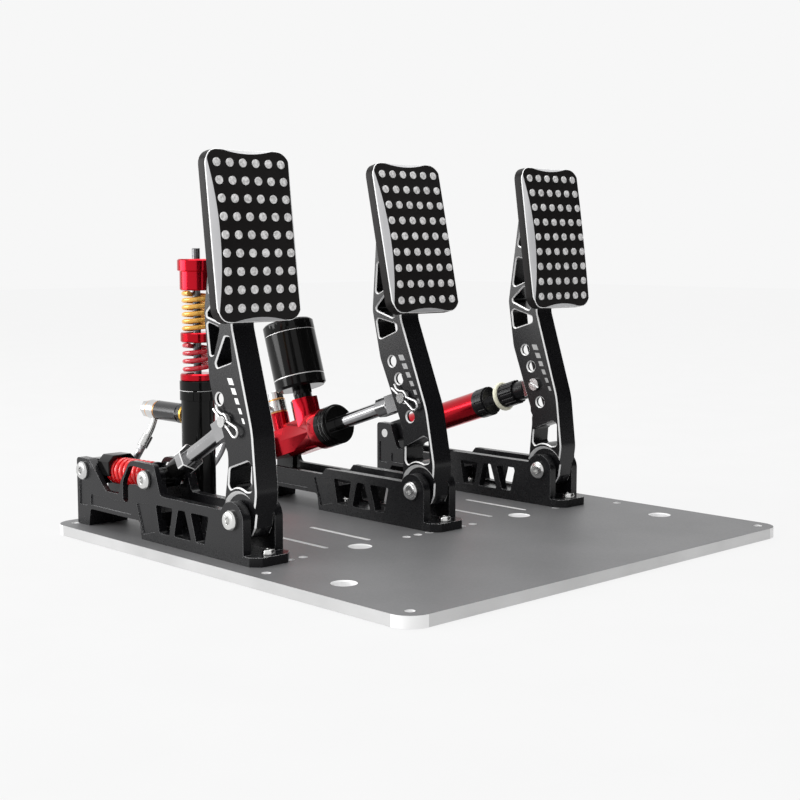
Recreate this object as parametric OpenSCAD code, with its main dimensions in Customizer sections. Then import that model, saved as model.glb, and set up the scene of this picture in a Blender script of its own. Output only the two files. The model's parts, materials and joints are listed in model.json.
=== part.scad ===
// Three-pedal set for driving simulators: clutch, brake and throttle on one plate.
// Millimetres. +X is the driver's right, +Y points away from the driver, +Z is up.
// The origin is the middle of the plate's underside.

/* [Plate] */
// Side length of the square plate
plate_side = 400; // [360:2:460]
// Thickness of the plate
plate_t = 8; // [6:0.5:12]
// Radius of the plate's corners
plate_corner_r = 16; // [8:1:24]
// Distance of the corner holes from the plate's edges
corner_hole_inset = 13; // [11:0.5:20]
// Diameter of the fixing holes
fix_hole_d = 6.5; // [5:0.5:9]
// Diameter of the large access holes
access_hole_d = 16; // [10:0.5:22]
// Pitch of the rows of fixing holes beside each pedal
row_pitch = 11.9; // [10:0.1:14]
// Width of the long slots
slot_w = 4; // [3:0.5:7]
// Length of the long slots
slot_len = 67; // [40:1:80]

/* [Pedal places] */
// Distance of the clutch pedal's centre plane from the plate's left edge
clutch_inset = 32; // [26:1:40]
// Centre plane of the brake pedal
brake_x = 3; // [-10:1:12]
// Distance of the throttle pedal's centre plane from the plate's right edge
throttle_inset = 50; // [30:1:65]
// Distance of the bases' rear ends from the plate's rear edge
rear_inset = 14; // [8:0.25:30]
// Height of the three pivots above the plate
pivot_h = 29.3; // [27:0.1:34]
// Rest lean of the clutch arm, away from the driver
clutch_lean = 0; // [-2:0.1:4]
// Rest lean of the brake arm
brake_lean = 5.8; // [2:0.1:7]
// Rest lean of the throttle arm
throttle_lean = 1.5; // [-1:0.1:4]

/* [Pedal base] */
// Width of a base over both cheeks
base_w = 34.6; // [33:0.2:40]
// Thickness of a base's floor
floor_t = 6; // [4:0.5:8]
// Height of the side rail above the plate
rail_h = 35; // [33:0.5:38]
// Height of the rear tower above the plate
tower_h = 52; // [50:0.5:58]
// Height of the arch between a base's feet
arch_h = 13.5; // [8:0.5:15]
// Radius of the cheek round the pivot
boss_r = 12.75; // [11:0.25:15]
// Length of the toe in front of the cheeks
toe_len = 13; // [11:0.5:18]
// Depth of the shallow panels in the cheeks
panel_depth = 1; // [0.5:0.1:2]
// Distance of the rear pivot behind the pedal pivot
rear_reach = 187.25; // [168.75:0.25:205.75]
// Height of the rear pivot above the plate
rear_h = 42.5; // [41:0.25:44]

/* [Arm and pad] */
// Width of an arm
arm_w = 20; // [18:0.5:22]
// Radius of the recess in the arm round its pivot
recess_r = 17; // [15:0.5:18]
// Depth of that recess
recess_depth = 2.2; // [1.2:0.1:2.6]
// Width of a pad
pad_w = 70.4; // [66:0.4:80]
// Height of a pad
pad_h = 115; // [112:1:126]
// Thickness of a pad at its middle
pad_t = 12; // [10.5:0.5:15]
// Radius of the pad's crown, about an axis across the pad
pad_crown_r = 379; // [340:1:600]
// Lean of the pad
pad_tilt = 6.8; // [4:0.2:9]
// Radius of the pad's corners
pad_corner_r = 10; // [6:0.5:12]
// Width of the bevel at the middle of the pad's sides
side_bevel = 4.4; // [4.4:0.1:6]
// Width of the bevel at the middle of the pad's ends
end_bevel = 3; // [2.4:0.1:4]
// Diameter of a grip stud
stud_d = 5.7; // [4:0.1:7.5]
// Height of a grip stud
stud_h = 0.9; // [0.4:0.1:1.5]
// Pitch of the studs across the pad
stud_pitch_x = 10.8; // [9:0.1:11.2]
// Pitch of the studs up the pad
stud_pitch_z = 12.06; // [10:0.02:12.4]

/* [Pins and forks] */
// Diameter of the pivot shafts
shaft_d = 8; // [6:0.5:9]
// Outer diameter of the pivot bearings
bearing_d = 16; // [14:0.5:18]
// Width of one pivot bearing
bearing_w = 5; // [4:0.5:7]
// Diameter of the clevis pins
pin_d = 8; // [6:0.5:8.5]
// Width of a fork over its prongs
fork_w = 14; // [12:0.5:14.5]
// Gap between a fork's prongs
fork_gap = 6; // [4:0.5:7]
// Diameter of the screw heads on pivots
head_d = 14; // [11:0.5:16]
// Height of those heads
head_h = 3.4; // [2.4:0.2:4.4]
// Diameter of the base screws
base_screw_d = 6; // [4:0.5:6]
// Diameter of a base screw's head
base_head_d = 9.5; // [9:0.5:12]

/* [Clutch linkage] */
// Distance of the trunnion in front of the rear pivot
spring_pitch = 84.5; // [82.25:0.25:92.75]
// Height of the trunnion above the plate
trunnion_h = 45; // [44:0.25:46]
// Diameter of the trunnion pin
trunnion_d = 8; // [6:0.5:8.5]
// Outer diameter of the clutch spring
clutch_spring_d = 21; // [20:0.5:22]
// Wire diameter of the clutch spring
clutch_wire_d = 3.8; // [2.4:0.1:4]
// Turns of the clutch spring
clutch_turns = 9; // [6:0.5:10]
// Diameter of the spring's guide rod
guide_d = 9; // [7:0.5:9.5]

/* [Brake hydraulics] */
// Diameter of the push rod
push_rod_d = 11.5; // [8:0.5:13]
// Diameter of the master cylinder's front cap
master_cap_d = 33; // [30:0.5:35]
// Length of that cap
master_cap_len = 15; // [11:0.5:17]
// Length from the cap's front face to the rear pivot
master_len = 89.75; // [86.5:0.25:94]
// Width across the flats of the master cylinder
master_af = 28; // [26:0.5:30]
// Diameter of the piston
piston_d = 18; // [14:0.5:20]
// Diameter of the reservoir
reservoir_d = 43; // [38:0.5:48]
// Height of the reservoir with its lid
reservoir_h = 57; // [48:1:66]
// Height of the lid
lid_h = 10; // [7:0.5:14]
// Distance of the reservoir's axis in front of the rear pivot
reservoir_ahead = 51.15; // [48.5:0.05:53.5]
// Height of the reservoir's seat above the cylinder's axis
reservoir_up = 39; // [36:0.5:44]
// Diameter of the brake hose
hose_d = 6; // [4.5:0.5:7]

/* [Slave cylinder] */
// Distance of the slave cylinder from the clutch pedal's centre plane
slave_side = 38.8; // [37.5:0.1:50]
// Distance of the slave cylinder in front of the rear pivots
slave_ahead = 73; // [70:0.5:76]
// Diameter of the slave cylinder
slave_d = 25.4; // [23:0.2:27]
// Height of the slave cylinder above the plate
slave_h = 98.8; // [95:0.2:106]
// Height of the two lock rings above it
lock_ring_h = 14.6; // [10:0.2:16]
// Diameter of the lock rings
lock_ring_d = 27.4; // [26:0.2:29]
// Thickness of the lower spring seat
seat_t = 5.6; // [4:0.2:8]
// Free height of the lower spring
lower_spring_h = 23.5; // [20:0.5:30]
// Height of the spacer between the springs
spacer_h = 7.4; // [5:0.2:10]
// Free height of the upper spring
upper_spring_h = 31.6; // [28:0.2:38]
// Outer diameter of both springs
slave_spring_d = 22.8; // [19:0.2:24]
// Wire diameter of both springs
slave_wire_d = 3.6; // [2.4:0.1:3.8]
// Turns of the lower spring
lower_turns = 3.25; // [2.25:0.25:3.5]
// Turns of the upper spring
upper_turns = 5.25; // [3.25:0.25:5.5]
// Height of the top cap
top_cap_h = 23.4; // [18:0.2:28]
// Diameter of the top cap's flange
top_flange_d = 28.4; // [26:0.2:32]
// Diameter of the centre rod
centre_rod_d = 6; // [4:0.5:8]
// Height of the pressure fitting above the plate
fitting_h = 86.5; // [84:0.5:88]

/* [Throttle strut] */
// Diameter of the throttle rod
throttle_rod_d = 8; // [6:0.5:9]
// Diameter of the adjuster knob
knob_d = 20.5; // [17:0.5:23]
// Length of the knob's grip
knob_len = 16; // [12:0.5:16.5]
// Flutes round the knob
knob_flutes = 16; // [8:1:22]
// Diameter of the bump ring
ring_d = 25; // [22:0.5:28]
// Diameter of the tube
tube_d = 24; // [20:0.5:24.5]
// Bore of the tube
tube_bore_d = 19; // [15:0.5:19.5]
// Distance of the tube cap's front face behind the arm's pin
tube_front = 61.5; // [61:0.5:64]
// Length of the tube cap
tube_cap_len = 13; // [10:0.5:16]

/* [Fits] */
// Radial clearance of running and plain fits
fit_gap = 0.05; // [0.02:0.01:0.1]
// Side clearance between moving flat faces
side_gap = 0.3; // [0.2:0.05:0.5]
// Radial clearance at the linkages' open pivots
open_gap = 0.65; // [0.55:0.05:0.8]

/* [Hidden] */
$fn = 48;

// Colours as the photograph shows them
black_finish = [0.07, 0.07, 0.08];
plate_finish = [0.33, 0.33, 0.34];
steel_finish = [0.78, 0.78, 0.80];
red_finish = [0.72, 0.03, 0.07];
gold_finish = [0.86, 0.56, 0.14];
copper_finish = [0.72, 0.42, 0.20];
ivory_finish = [0.88, 0.87, 0.72];

// A cut runs this far past the face that it opens
past = 1;
// Segments of a rounded corner in an outline
corner_steps = 6;

// Centre planes of the outer pedals, the bases' rear ends and the pivots along Y
clutch_x = clutch_inset - plate_side / 2;
throttle_x = plate_side / 2 - throttle_inset;
base_tail = 10;
base_rear = rear_reach + base_tail;
pivot_y = plate_side / 2 - rear_inset - base_rear;
trunnion_reach = rear_reach - spring_pitch;

// Pivots as [y, z]
pivot = [pivot_y, plate_t + pivot_h];
rear_pivot = [pivot_y + rear_reach, plate_t + rear_h];
trunnion = [pivot_y + trunnion_reach, plate_t + trunnion_h];
// Holes for the clevis pin in an arm's frame, and the one that is pinned
clutch_holes = [[14, 66], [21.6, 80.7]];
clutch_hole = clutch_holes[0];
long_holes = [[4, 56], [8.7, 70.8], [13.5, 85.4], [19.8, 99.2]];
long_hole = long_holes[1];

function unit(v) = v / norm(v);
// An arm's point after it leans away from the driver
function leaned(p, lean) = [p.x * cos(lean) + p.y * sin(lean), p.y * cos(lean) - p.x * sin(lean)];
clutch_pin_at = pivot + leaned(clutch_hole, clutch_lean);
brake_pin_at = pivot + leaned(long_hole, brake_lean);
throttle_pin_at = pivot + leaned(long_hole, throttle_lean);
// Length and slope of a strut from its pin down to its rear end
function reach(pin, end) = norm(end - pin);
function slope(pin, end) = atan2(pin.y - end.y, end.x - pin.x);
clutch_reach = reach(clutch_pin_at, trunnion);
brake_reach = reach(brake_pin_at, rear_pivot);
throttle_reach = reach(throttle_pin_at, rear_pivot);
spring_reach = reach(trunnion, rear_pivot);

// One rounded corner q between p and s of a clockwise outline
function corner(p, q, s, r) =
    let (
        a = unit(p - q),
        b = unit(s - q),
        half = acos(max(-1, min(1, a * b))) / 2,
        side = cross(q - p, s - q) < 0 ? 1 : -1,
        centre = q + unit(a + b) * r / sin(half),
        from = q + a * r / tan(half) - centre,
        start = atan2(from.y, from.x),
        sweep = -side * (180 - 2 * half)
    )
    [for (i = [0 : corner_steps])
        centre + r * [cos(start + sweep * i / corner_steps), sin(start + sweep * i / corner_steps)]];

// A clockwise list of [y, z, radius] as one outline with round corners
function rounded(points) =
    let (n = len(points), at = [for (p = points) [p[0], p[1]]])
    [for (i = [0 : n - 1])
        each corner(at[(i + n - 1) % n], at[i], at[(i + 1) % n], points[i][2])];

// Flat outline in Y and Z, extruded along X about the centre plane
module along_x(width) rotate([90, 0, 90]) linear_extrude(width, center = true) children();
module slab_x(points, width) along_x(width) polygon(rounded(points));

// Round and six-sided bars along Y, and a round bar along X
module bar_y(y0, y1, d) translate([0, y0, 0]) rotate([-90, 0, 0]) cylinder(h = y1 - y0, d = d);
module hex_y(y0, y1, af) translate([0, y0, 0]) rotate([-90, 0, 0])
    cylinder(h = y1 - y0, d = af / cos(30), $fn = 6);
module bar_x(x0, x1, d) translate([x0, 0, 0]) rotate([0, 90, 0]) cylinder(h = x1 - x0, d = d);
module block(x, y0, y1, z0, z1) translate([-x / 2, y0, z0]) cube([x, y1 - y0, z1 - z0]);

// Frames: a leaning arm, and a strut that runs from its pin along its own +Y
module on_arm(x, lean) translate([x, pivot.x, pivot.y]) rotate([-lean, 0, 0]) children();
module on_strut(x, pin, end) translate([x, pin.x, pin.y]) rotate([-slope(pin, end), 0, 0]) children();
module on_base(x) translate([x, pivot_y, plate_t]) children();
module at_yz(p) translate([0, p.x, p.y]) children();

// Tube along a path, turned without twist, with triangle faces
function tangent(path, i) =
    unit(path[min(i + 1, len(path) - 1)] - path[max(i - 1, 0)]);
function carried(path, first, i) =
    i == 0 ? first : let (n = carried(path, first, i - 1), t = tangent(path, i)) unit(n - (n * t) * t);
module tube(path, d, sides, first) {
    rings = len(path);
    start = tangent(path, 0);
    square_on = unit(first - (first * start) * start);
    points = [for (i = [0 : rings - 1])
        let (t = tangent(path, i), n = carried(path, square_on, i))
        for (k = [0 : sides - 1])
            path[i] + d / 2 * (n * cos(360 * k / sides) + cross(t, n) * sin(360 * k / sides))];
    skin = [for (i = [0 : rings - 2]) for (k = [0 : sides - 1]) let (m = (k + 1) % sides)
        each [[i * sides + k, (i + 1) * sides + k, i * sides + m],
            [i * sides + m, (i + 1) * sides + k, (i + 1) * sides + m]]];
    low = [for (k = [1 : sides - 2]) [0, k, k + 1]];
    high = [for (k = [1 : sides - 2]) let (o = (rings - 1) * sides) [o, o + k + 1, o + k]];
    polyhedron(points, concat(skin, low, high));
}

// Helix about +Z whose ends run straight for one wire diameter
rings_per_turn = 8;
function helix_point(r, rise, turns, f) =
    [r * cos(360 * turns * f), r * sin(360 * turns * f), rise * f];
function helix(r, rise, turns, wire) =
    let (
        n = ceil(turns * rings_per_turn),
        turn = [for (i = [0 : n]) helix_point(r, rise, turns, i / n)],
        end = helix_point(1, 0, turns, 1)
    )
    concat([[r, -wire, 0]], turn, [turn[n] + wire * [-end.y, end.x, 0]]);
// Smallest gap between turns, measured on the path's points
function least_gap(path, wire) = min([for (i = [0 : len(path) - 1])
    for (j = [i + rings_per_turn - 2 : 1 : len(path) - 1]) norm(path[i] - path[j]) - wire]);
// Spring that fills a height, its end turns just clear of both seats
seat_clear = 0.2;
function spring_path(d, height, turns, wire) =
    [for (p = helix((d - wire) / 2, height - wire - 2 * seat_clear, turns, wire))
        p + [0, 0, wire / 2 + seat_clear]];
module spring(d, height, turns, wire) tube(spring_path(d, height, turns, wire), wire, 6, [1, 0, 0]);

// Smooth path through hand-chosen points
curve_steps = 3;
function blend_point(a, b, c, d, t) =
    0.5 * (2 * b + (c - a) * t + (2 * a - 5 * b + 4 * c - d) * t * t + (3 * b - a - 3 * c + d) * t * t * t);
function smooth(points) =
    let (n = len(points))
    concat([for (i = [0 : n - 2]) for (s = [0 : curve_steps - 1])
        blend_point(points[max(i - 1, 0)], points[i], points[i + 1], points[min(i + 2, n - 1)],
            s / curve_steps)],
        [points[n - 1]]);

// Pieces of the plate
row_y = pivot_y - 19.25;
side_hole_y = -0.1275 * plate_side;
access_rows = plate_side * [[0.4225, -0.27], [0.215, -0.07875]];
slot_columns = plate_side * [0.165, 0.2675];
slot_front = -0.05 * plate_side;
corner_hole = plate_side / 2 - corner_hole_inset;
// Row holes beside each pedal, in pitches from its centre plane
row_holes = [[clutch_x, [1.5, 2.5]], [brake_x, [-3.5, -2.5, -1.5, 1.5, 2.5]], [throttle_x, [-1.5]]];
pedal_xs = [clutch_x, brake_x, throttle_x];
access_rim = 0.8;

module plate_slot(x) {
    for (end = [0, slot_len - slot_w])
        translate([x, slot_front + slot_w / 2 + end, -past]) cylinder(h = plate_t + 2 * past, d = slot_w);
    translate([x - slot_w / 2, slot_front + slot_w / 2, -past])
        cube([slot_w, slot_len - slot_w, plate_t + 2 * past]);
}

module plate_hole(x, y, d) translate([x, y, -past]) cylinder(h = plate_t + 2 * past, d = d);

module base_plate() color(plate_finish) difference() {
    half = plate_side / 2;
    linear_extrude(plate_t) polygon(rounded([for (c = [[-1, -1], [-1, 1], [1, 1], [1, -1]])
        [c.x * half, c.y * half, plate_corner_r]]));
    for (x = [-1, 1], y = [-1, 1]) plate_hole(x * corner_hole, y * corner_hole, fix_hole_d);
    for (x = [-1, 1]) plate_hole(x * corner_hole, side_hole_y, fix_hole_d);
    for (row = row_holes, k = row[1]) plate_hole(row[0] + k * row_pitch, row_y, fix_hole_d);
    for (p = access_rows, x = [-1, 1]) {
        plate_hole(x * p.x, p.y, access_hole_d);
        translate([x * p.x, p.y, plate_t - access_rim])
            cylinder(h = access_rim + past, d1 = access_hole_d, d2 = access_hole_d + 2 * (access_rim + past));
    }
    for (x = slot_columns, side = [-1, 1]) plate_slot(side * x);
    for (x = pedal_xs, y = base_screw_ys) plate_hole(x, pivot_y + y, base_screw_d);
}

// Pedal bases: places along Y are measured from the pedal pivot, heights from the plate
arm_gap = arm_w + 2 * side_gap;
pocket_gap = clutch_spring_d + 5;
pocket_front = trunnion_reach - 14.75;
pocket_rear = rear_reach - 11.25;
tower_front = rear_reach - 7.6;
clutch_rake = 23;
plain_rake = 9;
notch_h = rail_h - 5;
arch_front = 109;
arch_rear = rear_reach - 6;
arch_slant = 2.2;
channel_top = tower_h + 30;
web_t = 5;
toe_h = floor_t + 0.5;
toe_front = -boss_r - toe_len;
toe_nose = base_w - 12.6;
toe_shoulder = toe_front + 6.3;
base_screw_ys = [toe_front + 7.5, arch_front - 13, base_rear - 8];
base_tops = [floor_t + 0.5, floor_t, arch_h + web_t];

// Top edge of a cheek from the step behind the rail to the notch in front of the tower
clutch_hump = [[trunnion_reach - 18.5, rail_h, 4], [trunnion_reach - 10.5, trunnion_h + 12.2, 3],
    [trunnion_reach + 20.25, trunnion_h + 12.2, 9], [trunnion_reach + 33.5, rail_h + 4.8, 8],
    [trunnion_reach + 35.9, notch_h, 2.5]];
plain_step = [[arch_front - 8.5, rail_h, 2], [arch_front - 4, notch_h, 2]];

function cheek_outline(step, rake) = concat(
    [[-boss_r, 0, 0.5], [-boss_r, pivot_h, 0.5], [boss_r * 0.7, rail_h, 0.5]],
    step,
    [[tower_front - rake, notch_h, 4], [tower_front, tower_h, 3], [base_rear, tower_h, 3],
        [base_rear, 0, 0.5], [arch_rear, 0, 0.5], [arch_rear - arch_slant, arch_h, 3],
        [arch_front + arch_slant, arch_h, 3], [arch_front, 0, 0.5]]);

// Three truss windows in each cheek
window_low = floor_t + 2;
window_high = rail_h - 6.8;
cheek_windows = [
    [[73.6, window_low, 1.5], [69.2, window_high, 1.5], [90.4, window_high, 1.5], [86.2, window_low, 1.5]],
    [[47, window_low, 1.2], [54.2, window_high, 1.6], [62.6, window_high, 1.6], [68, window_low, 1.2]],
    [[31, window_low, 1.5], [26, window_high, 1.5], [47.6, window_high, 1.5], [41, window_low, 1.5]]
];
// Shallow panels on the outer faces
long_panel_h = rail_h - 10;
tower_panel_h = rear_h - 8;
cheek_panels = [
    [[91, window_low, 1], [95.5, window_high, 1], [115.2, window_high - 2, 1], [107, floor_t - 2, 1]],
    [[arch_front + 13, arch_h + 3, 1], [arch_front + 17, long_panel_h, 1],
        [rear_reach - 9, long_panel_h, 1], [rear_reach - 9, arch_h + 3, 1]],
    [[rear_reach - 4, arch_h + 2, 1], [rear_reach - 5, tower_panel_h, 1],
        [base_rear - 3, tower_panel_h, 1], [base_rear - 3, arch_h + 2, 1]]
];
// Hooked opening that the clutch trunnion moves in
hook_low = 25;
hook_window = [for (p = [[23.25, hook_low - trunnion_h, 3], [23.25, -6.4, 3.5], [16.25, -5, 5],
    [-4.15, -6.6, 4], [-7.35, 0, 3.5], [-2.25, 7.4, 5.5], [21.85, 8.6, 7], [30.45, -5, 9],
    [30.45, hook_low - trunnion_h, 3]]) p + [trunnion_reach, trunnion_h, 0]];

module pedal_base(step, rake) {
    difference() {
        union() {
            slab_x(cheek_outline(step, rake), base_w);
            at_yz([0, pivot_h]) bar_x(-base_w / 2, base_w / 2, 2 * boss_r);
            linear_extrude(toe_h) polygon([[-base_w / 2, 0], [-base_w / 2, toe_shoulder],
                [-toe_nose / 2, toe_front], [toe_nose / 2, toe_front], [base_w / 2, toe_shoulder],
                [base_w / 2, 0]]);
        }
        // The channel between the cheeks, its wider middle and its step over the arch
        block(arm_gap, toe_front - past, -boss_r + past, toe_h, tower_h);
        block(arm_gap, -boss_r, arch_front - web_t, floor_t, channel_top);
        block(arm_gap, arch_front - web_t - past, base_rear + past, arch_h + web_t, channel_top);
        block(pocket_gap, pocket_front, arch_front - web_t, floor_t, channel_top);
        block(pocket_gap, arch_front - web_t - past, pocket_rear, arch_h + web_t, channel_top);
        for (w = cheek_windows) slab_x(w, base_w + 2 * past);
        for (p = cheek_panels, side = [-1, 1])
            translate([side * base_w / 2, 0, 0]) slab_x(p, 2 * panel_depth);
        at_yz([0, pivot_h]) bar_x(-base_w, base_w, shaft_d + 2 * fit_gap);
        at_yz([rear_reach, rear_h]) bar_x(-base_w, base_w, pin_d + 2 * fit_gap);
        for (y = base_screw_ys)
            translate([0, y, -past]) cylinder(h = arch_h + web_t + 2 * past, d = base_screw_d + 2 * fit_gap);
    }
}

module clutch_base() color(black_finish) on_base(clutch_x) difference() {
    pedal_base(clutch_hump, clutch_rake);
    slab_x(hook_window, base_w + 2 * past);
}
module brake_base() color(black_finish) on_base(brake_x) pedal_base(plain_step, plain_rake);
module throttle_base() color(black_finish) on_base(throttle_x) pedal_base(plain_step, plain_rake);

// Screws that hold the bases to the plate: a low round head with a hexagon socket
socket_share = 0.4;
head_edge = 0.45;
head_top = 0.84;
module round_head(d, h) difference() {
    union() {
        cylinder(h = h * (1 - head_edge), d = d);
        translate([0, 0, h * (1 - head_edge)]) cylinder(h = h * head_edge, d1 = d, d2 = d * head_top);
    }
    translate([0, 0, h * 0.35]) cylinder(h = h, d = d * socket_share, $fn = 6);
}

module base_screws() color(steel_finish)
    for (x = pedal_xs, i = [0 : len(base_screw_ys) - 1])
        translate([x, pivot_y + base_screw_ys[i], plate_t + base_tops[i]]) {
            round_head(base_head_d, base_screw_d * 0.6);
            translate([0, 0, -base_tops[i] - plate_t * 0.75])
                cylinder(h = base_tops[i] + plate_t * 0.75, d = base_screw_d - 2 * fit_gap);
        }

// Shaft through a base with a screw head at both ends
module headed_shaft(d) {
    bar_x(-base_w / 2, base_w / 2, d);
    for (side = [0, 180]) rotate([0, 0, side]) translate([base_w / 2, 0, 0]) rotate([0, 90, 0])
        round_head(head_d, head_h);
}

module pivot_shafts() color(steel_finish)
    for (x = pedal_xs) translate([x, pivot.x, pivot.y]) headed_shaft(shaft_d);

module rear_pins() color(steel_finish) {
    for (x = [clutch_x, brake_x]) translate([x, rear_pivot.x, rear_pivot.y]) headed_shaft(pin_d);
    translate([throttle_x, rear_pivot.x, rear_pivot.y]) bar_x(-base_w / 2, base_w / 2, pin_d);
}

// Arms, in a frame at their pivot: +Y away from the driver, +Z up the arm
pad_face = [-10.3, 192.4];
pad_up = [sin(pad_tilt), cos(pad_tilt)];
pad_in = [cos(pad_tilt), -sin(pad_tilt)];
function pad_back(up) = pad_face + pad_in * pad_t + pad_up * up;
function with_r(p, r) = [p.x, p.y, r];
seat_low = -32;
seat_high = 42;

// From the bottom up the driver's side, along the pad and down the far side
function arm_outline(bend) = concat(
    [[-8.5, -13, 6], [-14, -5, 1.5], [-18, 19, 25], [-14, 61, 60], [7.5, 133, 14],
        with_r(pad_back(seat_low), 2.5), with_r(pad_back(seat_high), 3)],
    [with_r(pad_back(seat_high) + 13 * pad_in, 5), [26.5, 208, 40], [38.5, 140, 18]],
    bend,
    [[12, 42, 30], [17.7, 8, 12], [11.5, -13, 9]]);
long_bend = [[33.5, 102, 30]];
short_bend = [[33.1, 89.8, 40]];

pivot_window = [[-13.2, 20.4, 2.5], [-13.2, 38.6, 2.5], [-9.5, 40.6, 3], [11.2, 33.6, 3], [12.4, 22, 2.5],
    [10, 19, 1.5], [1, 24.6, 16], [-7, 19.6, 4]];
top_windows = [
    [[9.5, 160, 2.5], [5.5, 171, 2.5], [28.5, 177, 2.5], [33.2, 151.4, 2.5]],
    [[7, 181, 2.5], [11, 222, 2.5], [17.6, 219, 2.5], [27.2, 186.5, 2.5]]
];
long_windows = concat([pivot_window], top_windows, [
    [[11.8, 122.6, 2], [12.2, 127.4, 2], [34.4, 133.8, 2.5], [32.4, 117, 2.5]],
    [[12.8, 131.4, 2], [19.5, 153.2, 2], [35.2, 140.4, 2]]
]);
short_windows = concat([pivot_window], top_windows, [
    [[7.3, 106.8, 2], [9.4, 123.8, 2], [15, 123.8, 2], [25.6, 105, 2], [23.8, 102, 1.5]],
    [[27.6, 110.8, 1.5], [20.6, 129.8, 2], [35, 133.3, 2], [31.4, 109.8, 1.5]],
    [[17.6, 132.6, 2], [20.4, 152, 2.5], [35.2, 139.8, 2], [34.8, 136.8, 1.2]]
]);

// Rear slot that the fork works in, along a row of holes
slot_margin = fork_w / 2 + 2.4;
slot_out = 60;
function fork_slot(holes) =
    let (
        low = holes[0],
        high = holes[len(holes) - 1],
        up = unit(high - low),
        front = [-up.y, up.x]
    )
    [with_r(low - up * slot_margin + front * slot_margin, 2),
        with_r(high + up * slot_margin + front * slot_margin, 4),
        with_r(high + up * slot_margin - front * slot_out, 1),
        with_r(low - up * slot_margin * 1.4 - front * slot_out, 1)];

module pedal_arm(outline, windows, holes) difference() {
    slab_x(outline, arm_w);
    for (w = windows) slab_x(w, arm_w + 2 * past);
    slab_x(fork_slot(holes), fork_w + 2 * side_gap);
    for (h = holes) at_yz(h) bar_x(-arm_w, arm_w, pin_d + 2 * fit_gap);
    for (side = [0, 180]) rotate([0, 0, side]) {
        translate([arm_w / 2 - recess_depth, 0, 0]) rotate([0, 90, 0])
            cylinder(h = recess_depth + past, r1 = recess_r, r2 = recess_r + recess_depth + past);
        bar_x(arm_w / 2 - recess_depth - bearing_w, arm_w, bearing_d);
    }
    bar_x(-arm_w, arm_w, shaft_d + 2);
}

module clutch_arm() color(black_finish) on_arm(clutch_x, clutch_lean)
    pedal_arm(arm_outline(short_bend), short_windows, clutch_holes);
module brake_arm() color(black_finish) on_arm(brake_x, brake_lean)
    pedal_arm(arm_outline(long_bend), long_windows, long_holes);
module throttle_arm() color(black_finish) on_arm(throttle_x, throttle_lean)
    pedal_arm(arm_outline(long_bend), long_windows, long_holes);

module bearings() difference() {
    for (side = [-1, 1]) bar_x(side * (arm_w / 2 - recess_depth) - (side > 0 ? bearing_w : 0),
        side * (arm_w / 2 - recess_depth) + (side > 0 ? 0 : bearing_w), bearing_d);
    bar_x(-arm_w, arm_w, shaft_d + 2 * fit_gap);
}
module clutch_bearings() color(steel_finish) on_arm(clutch_x, clutch_lean) bearings();
module brake_bearings() color(steel_finish) on_arm(brake_x, brake_lean) bearings();
module throttle_bearings() color(steel_finish) on_arm(throttle_x, throttle_lean) bearings();

// Pads: frame at the middle of the face, +Y into the pad, +Z up its face
stud_columns = 6;
stud_rows = 9;
end_bite_r = 140;
function crown(z) = pad_crown_r - sqrt(pad_crown_r * pad_crown_r - z * z);

module pad_bevels() {
    side_cut = 2 * pad_t;
    for (side = [-1, 1]) translate([side * (pad_w / 2 - side_bevel), 0, 0]) rotate([0, 0, side * 45])
        translate([side < 0 ? -side_cut : 0, -side_cut, -pad_h]) cube([side_cut, side_cut, 2 * pad_h]);
    edge = pad_h / 2 - end_bevel;
    for (side = [-1, 1]) translate([0, crown(edge), side * edge]) rotate([-side * 45, 0, 0])
        translate([0, -end_bite_r, 0]) cylinder(h = 4 * pad_t, r = end_bite_r, center = true, $fn = 96);
}

module pad() {
    difference() {
        intersection() {
            translate([0, pad_t, 0]) rotate([90, 0, 0]) linear_extrude(pad_t + past)
                polygon(rounded([for (c = [[-1, -1], [-1, 1], [1, 1], [1, -1]])
                    [c.x * pad_w / 2, c.y * pad_h / 2, pad_corner_r]]));
            translate([0, pad_crown_r, 0]) rotate([0, 90, 0])
                cylinder(h = 2 * pad_w, r = pad_crown_r, center = true, $fn = 200);
        }
        pad_bevels();
    }
    for (i = [0 : stud_columns - 1], j = [0 : stud_rows - 1]) {
        x = (i - (stud_columns - 1) / 2) * stud_pitch_x;
        z = (j - (stud_rows - 1) / 2) * stud_pitch_z;
        translate([x, crown(z) - stud_h, z]) rotate([-90, 0, 0])
            cylinder(h = 2 * stud_h + past, d = stud_d, $fn = 24);
    }
}
module seated_pad() at_yz(pad_face) rotate([-pad_tilt, 0, 0]) pad();
module clutch_pad() color(black_finish) on_arm(clutch_x, clutch_lean) seated_pad();
module brake_pad() color(black_finish) on_arm(brake_x, brake_lean) seated_pad();
module throttle_pad() color(black_finish) on_arm(throttle_x, throttle_lean) seated_pad();

// Clevis pins: a head on one side, and a drilled end for a spring clip on the other
pin_out = 5;
clip_wire_d = 2;
clip_at = arm_w / 2 + 3;
pin_head_d = 1.5 * pin_d;
pin_head_h = 3;

module clevis_pin() difference() {
    union() {
        bar_x(-arm_w / 2 - pin_out, arm_w / 2, pin_d);
        bar_x(arm_w / 2, arm_w / 2 + pin_head_h, pin_head_d);
    }
    translate([-clip_at, 0, 0]) rotate([clip_turn, 0, 0]) bar_y(-pin_d, pin_d, clip_wire_d + 2 * fit_gap);
}
module clutch_pin() color(steel_finish) on_arm(clutch_x, clutch_lean) at_yz(clutch_hole) clevis_pin();
module brake_pin() color(steel_finish) on_arm(brake_x, brake_lean) at_yz(long_hole) clevis_pin();
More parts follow.
